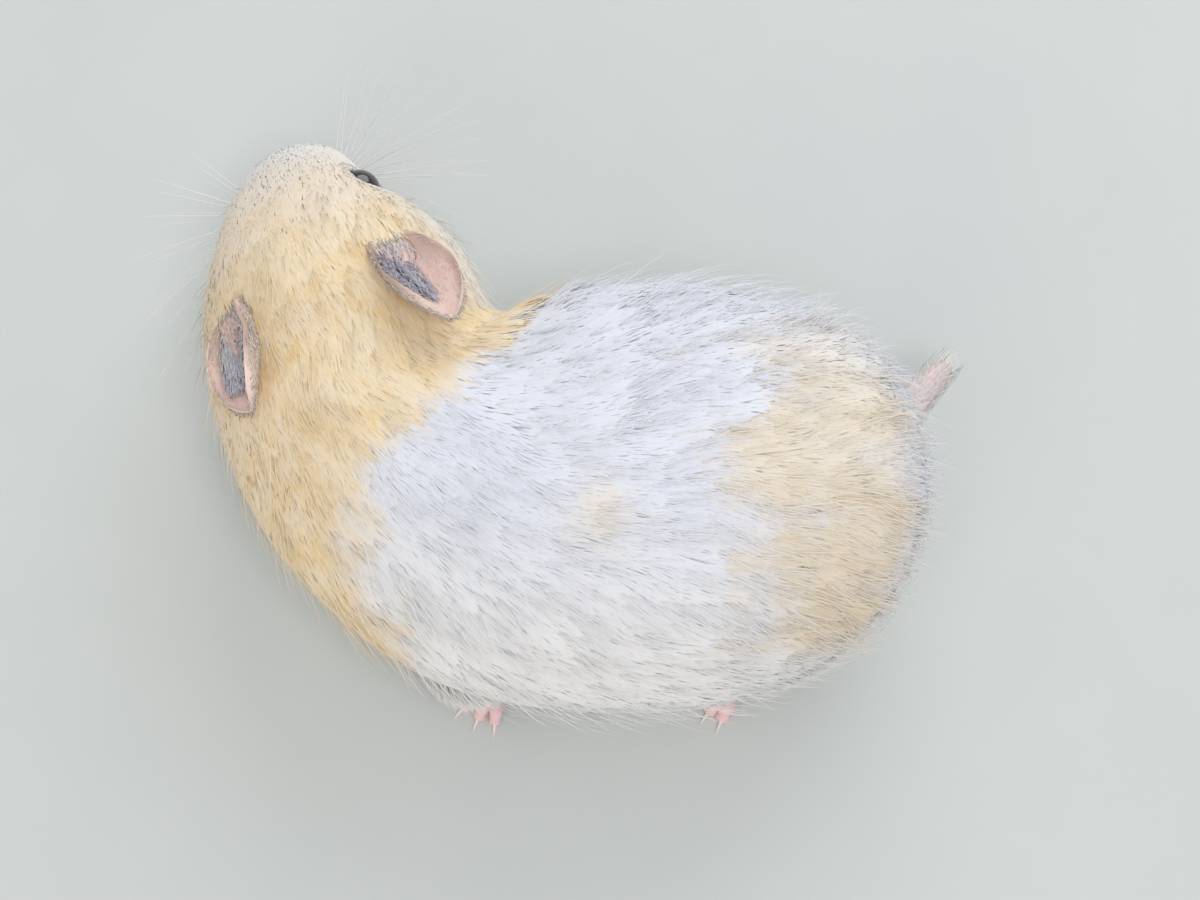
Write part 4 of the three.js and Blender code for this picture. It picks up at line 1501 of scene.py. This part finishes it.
# ---------------------------------------------------------------- claws
# Each toe ends in a slim curved claw of clear pale horn, clouded by the quick inside it. It grows
# out of the tip of the toe and bends down to the floor.
CLAW = dict(length=2.3, radius=0.34, deep=0.5, lift=0.25, lowest=0.12)
way = eased(14)
drop = 0.35 * way - 1.45 * way**2
radii = CLAW["radius"] * (1 - 0.86 * way) * np.sqrt(np.minimum(1, way * 12))
points, faces = [], []
for name in PAWS:
    for number in range(paw_axes(name)[4]["toes"]):
        path, heading = toe_path(name, number, np.ones(1))
        start = path[0] - heading * CLAW["deep"] + UPRIGHT * CLAW["lift"]
        line = start + heading * (way * CLAW["length"])[:, None] + UPRIGHT * drop[:, None]
        line[:, 2] = np.maximum(line[:, 2], CLAW["lowest"])
        faces += [f + sum(map(len, points)) for f in closed_faces(12, 10)]
        points.append(tube(line, radii, 10, 1.1))
claws = new_object("claws", new_mesh("claws", np.vstack(points), faces))
claws.data.materials.append(clouded("claw", 900, (238, 214, 204), (250, 240, 232), 0.28)[0])
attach(claws, "root")

# ---------------------------------------------------------------- floor, light and camera
# A plain pale floor, broad soft lights like a window and its echo from the other side, and a
# camera that looks down on the back from its left side. Metres are used here.
floor_mesh = bpy.data.meshes.new("floor")
floor_mesh.from_pydata([(-3, -3, 0), (3, -3, 0), (3, 3, 0), (-3, 3, 0)], [], [(0, 1, 2, 3)])
floor = new_object("floor", floor_mesh)
floor_mesh.materials.append(clouded("floor", 60, (206, 209, 205), (211, 213, 209), 0.7)[0])
# Place, width, power and colour of each light. All face a point in the middle of the animal.
LIGHTS = dict(
    above=((-0.09, 0.18, 0.60), 0.25, 1.05, (0.94, 0.97, 1.0)),
    window=((-0.14, -0.43, 0.33), 0.50, 1.35, (0.96, 0.985, 1.0)),
    echo=((0.25, 0.48, 0.28), 0.40, 0.7, (1.0, 0.94, 0.84)),
)
LIT = Vector((0, 0, 0.02))
for name, (at, size, power, colour) in LIGHTS.items():
    light = bpy.data.lights.new(name, "AREA")
    light.shape, light.size, light.energy, light.color = "DISK", size, power, colour
    lamp = bpy.data.objects.new(name, light)
    lamp.location = at
    lamp.rotation_euler = (LIT - lamp.location).to_track_quat("-Z", "Y").to_euler()
    bpy.context.scene.collection.objects.link(lamp)
world = bpy.data.worlds.new("room")
world.use_nodes = True
world.node_tree.nodes["Background"].inputs["Color"].default_value = (0.92, 0.95, 1.0, 1)
world.node_tree.nodes["Background"].inputs["Strength"].default_value = 0.56
bpy.context.scene.world = world
bpy.context.scene.view_settings.view_transform = "Standard"

lens = bpy.data.cameras.new("camera")
lens.lens, lens.sensor_width = 67.5, 36
camera = bpy.data.objects.new("camera", lens)
AIM, AWAY, HEIGHT = Vector((-0.0025, 0.0049, 0.024)), 0.3, np.radians(75)
camera.location = AIM + AWAY * Vector((0, np.cos(HEIGHT), np.sin(HEIGHT)))
camera.rotation_euler = (AIM - camera.location).to_track_quat("-Z", "Y").to_euler()
bpy.context.scene.collection.objects.link(camera)
bpy.context.scene.camera = camera
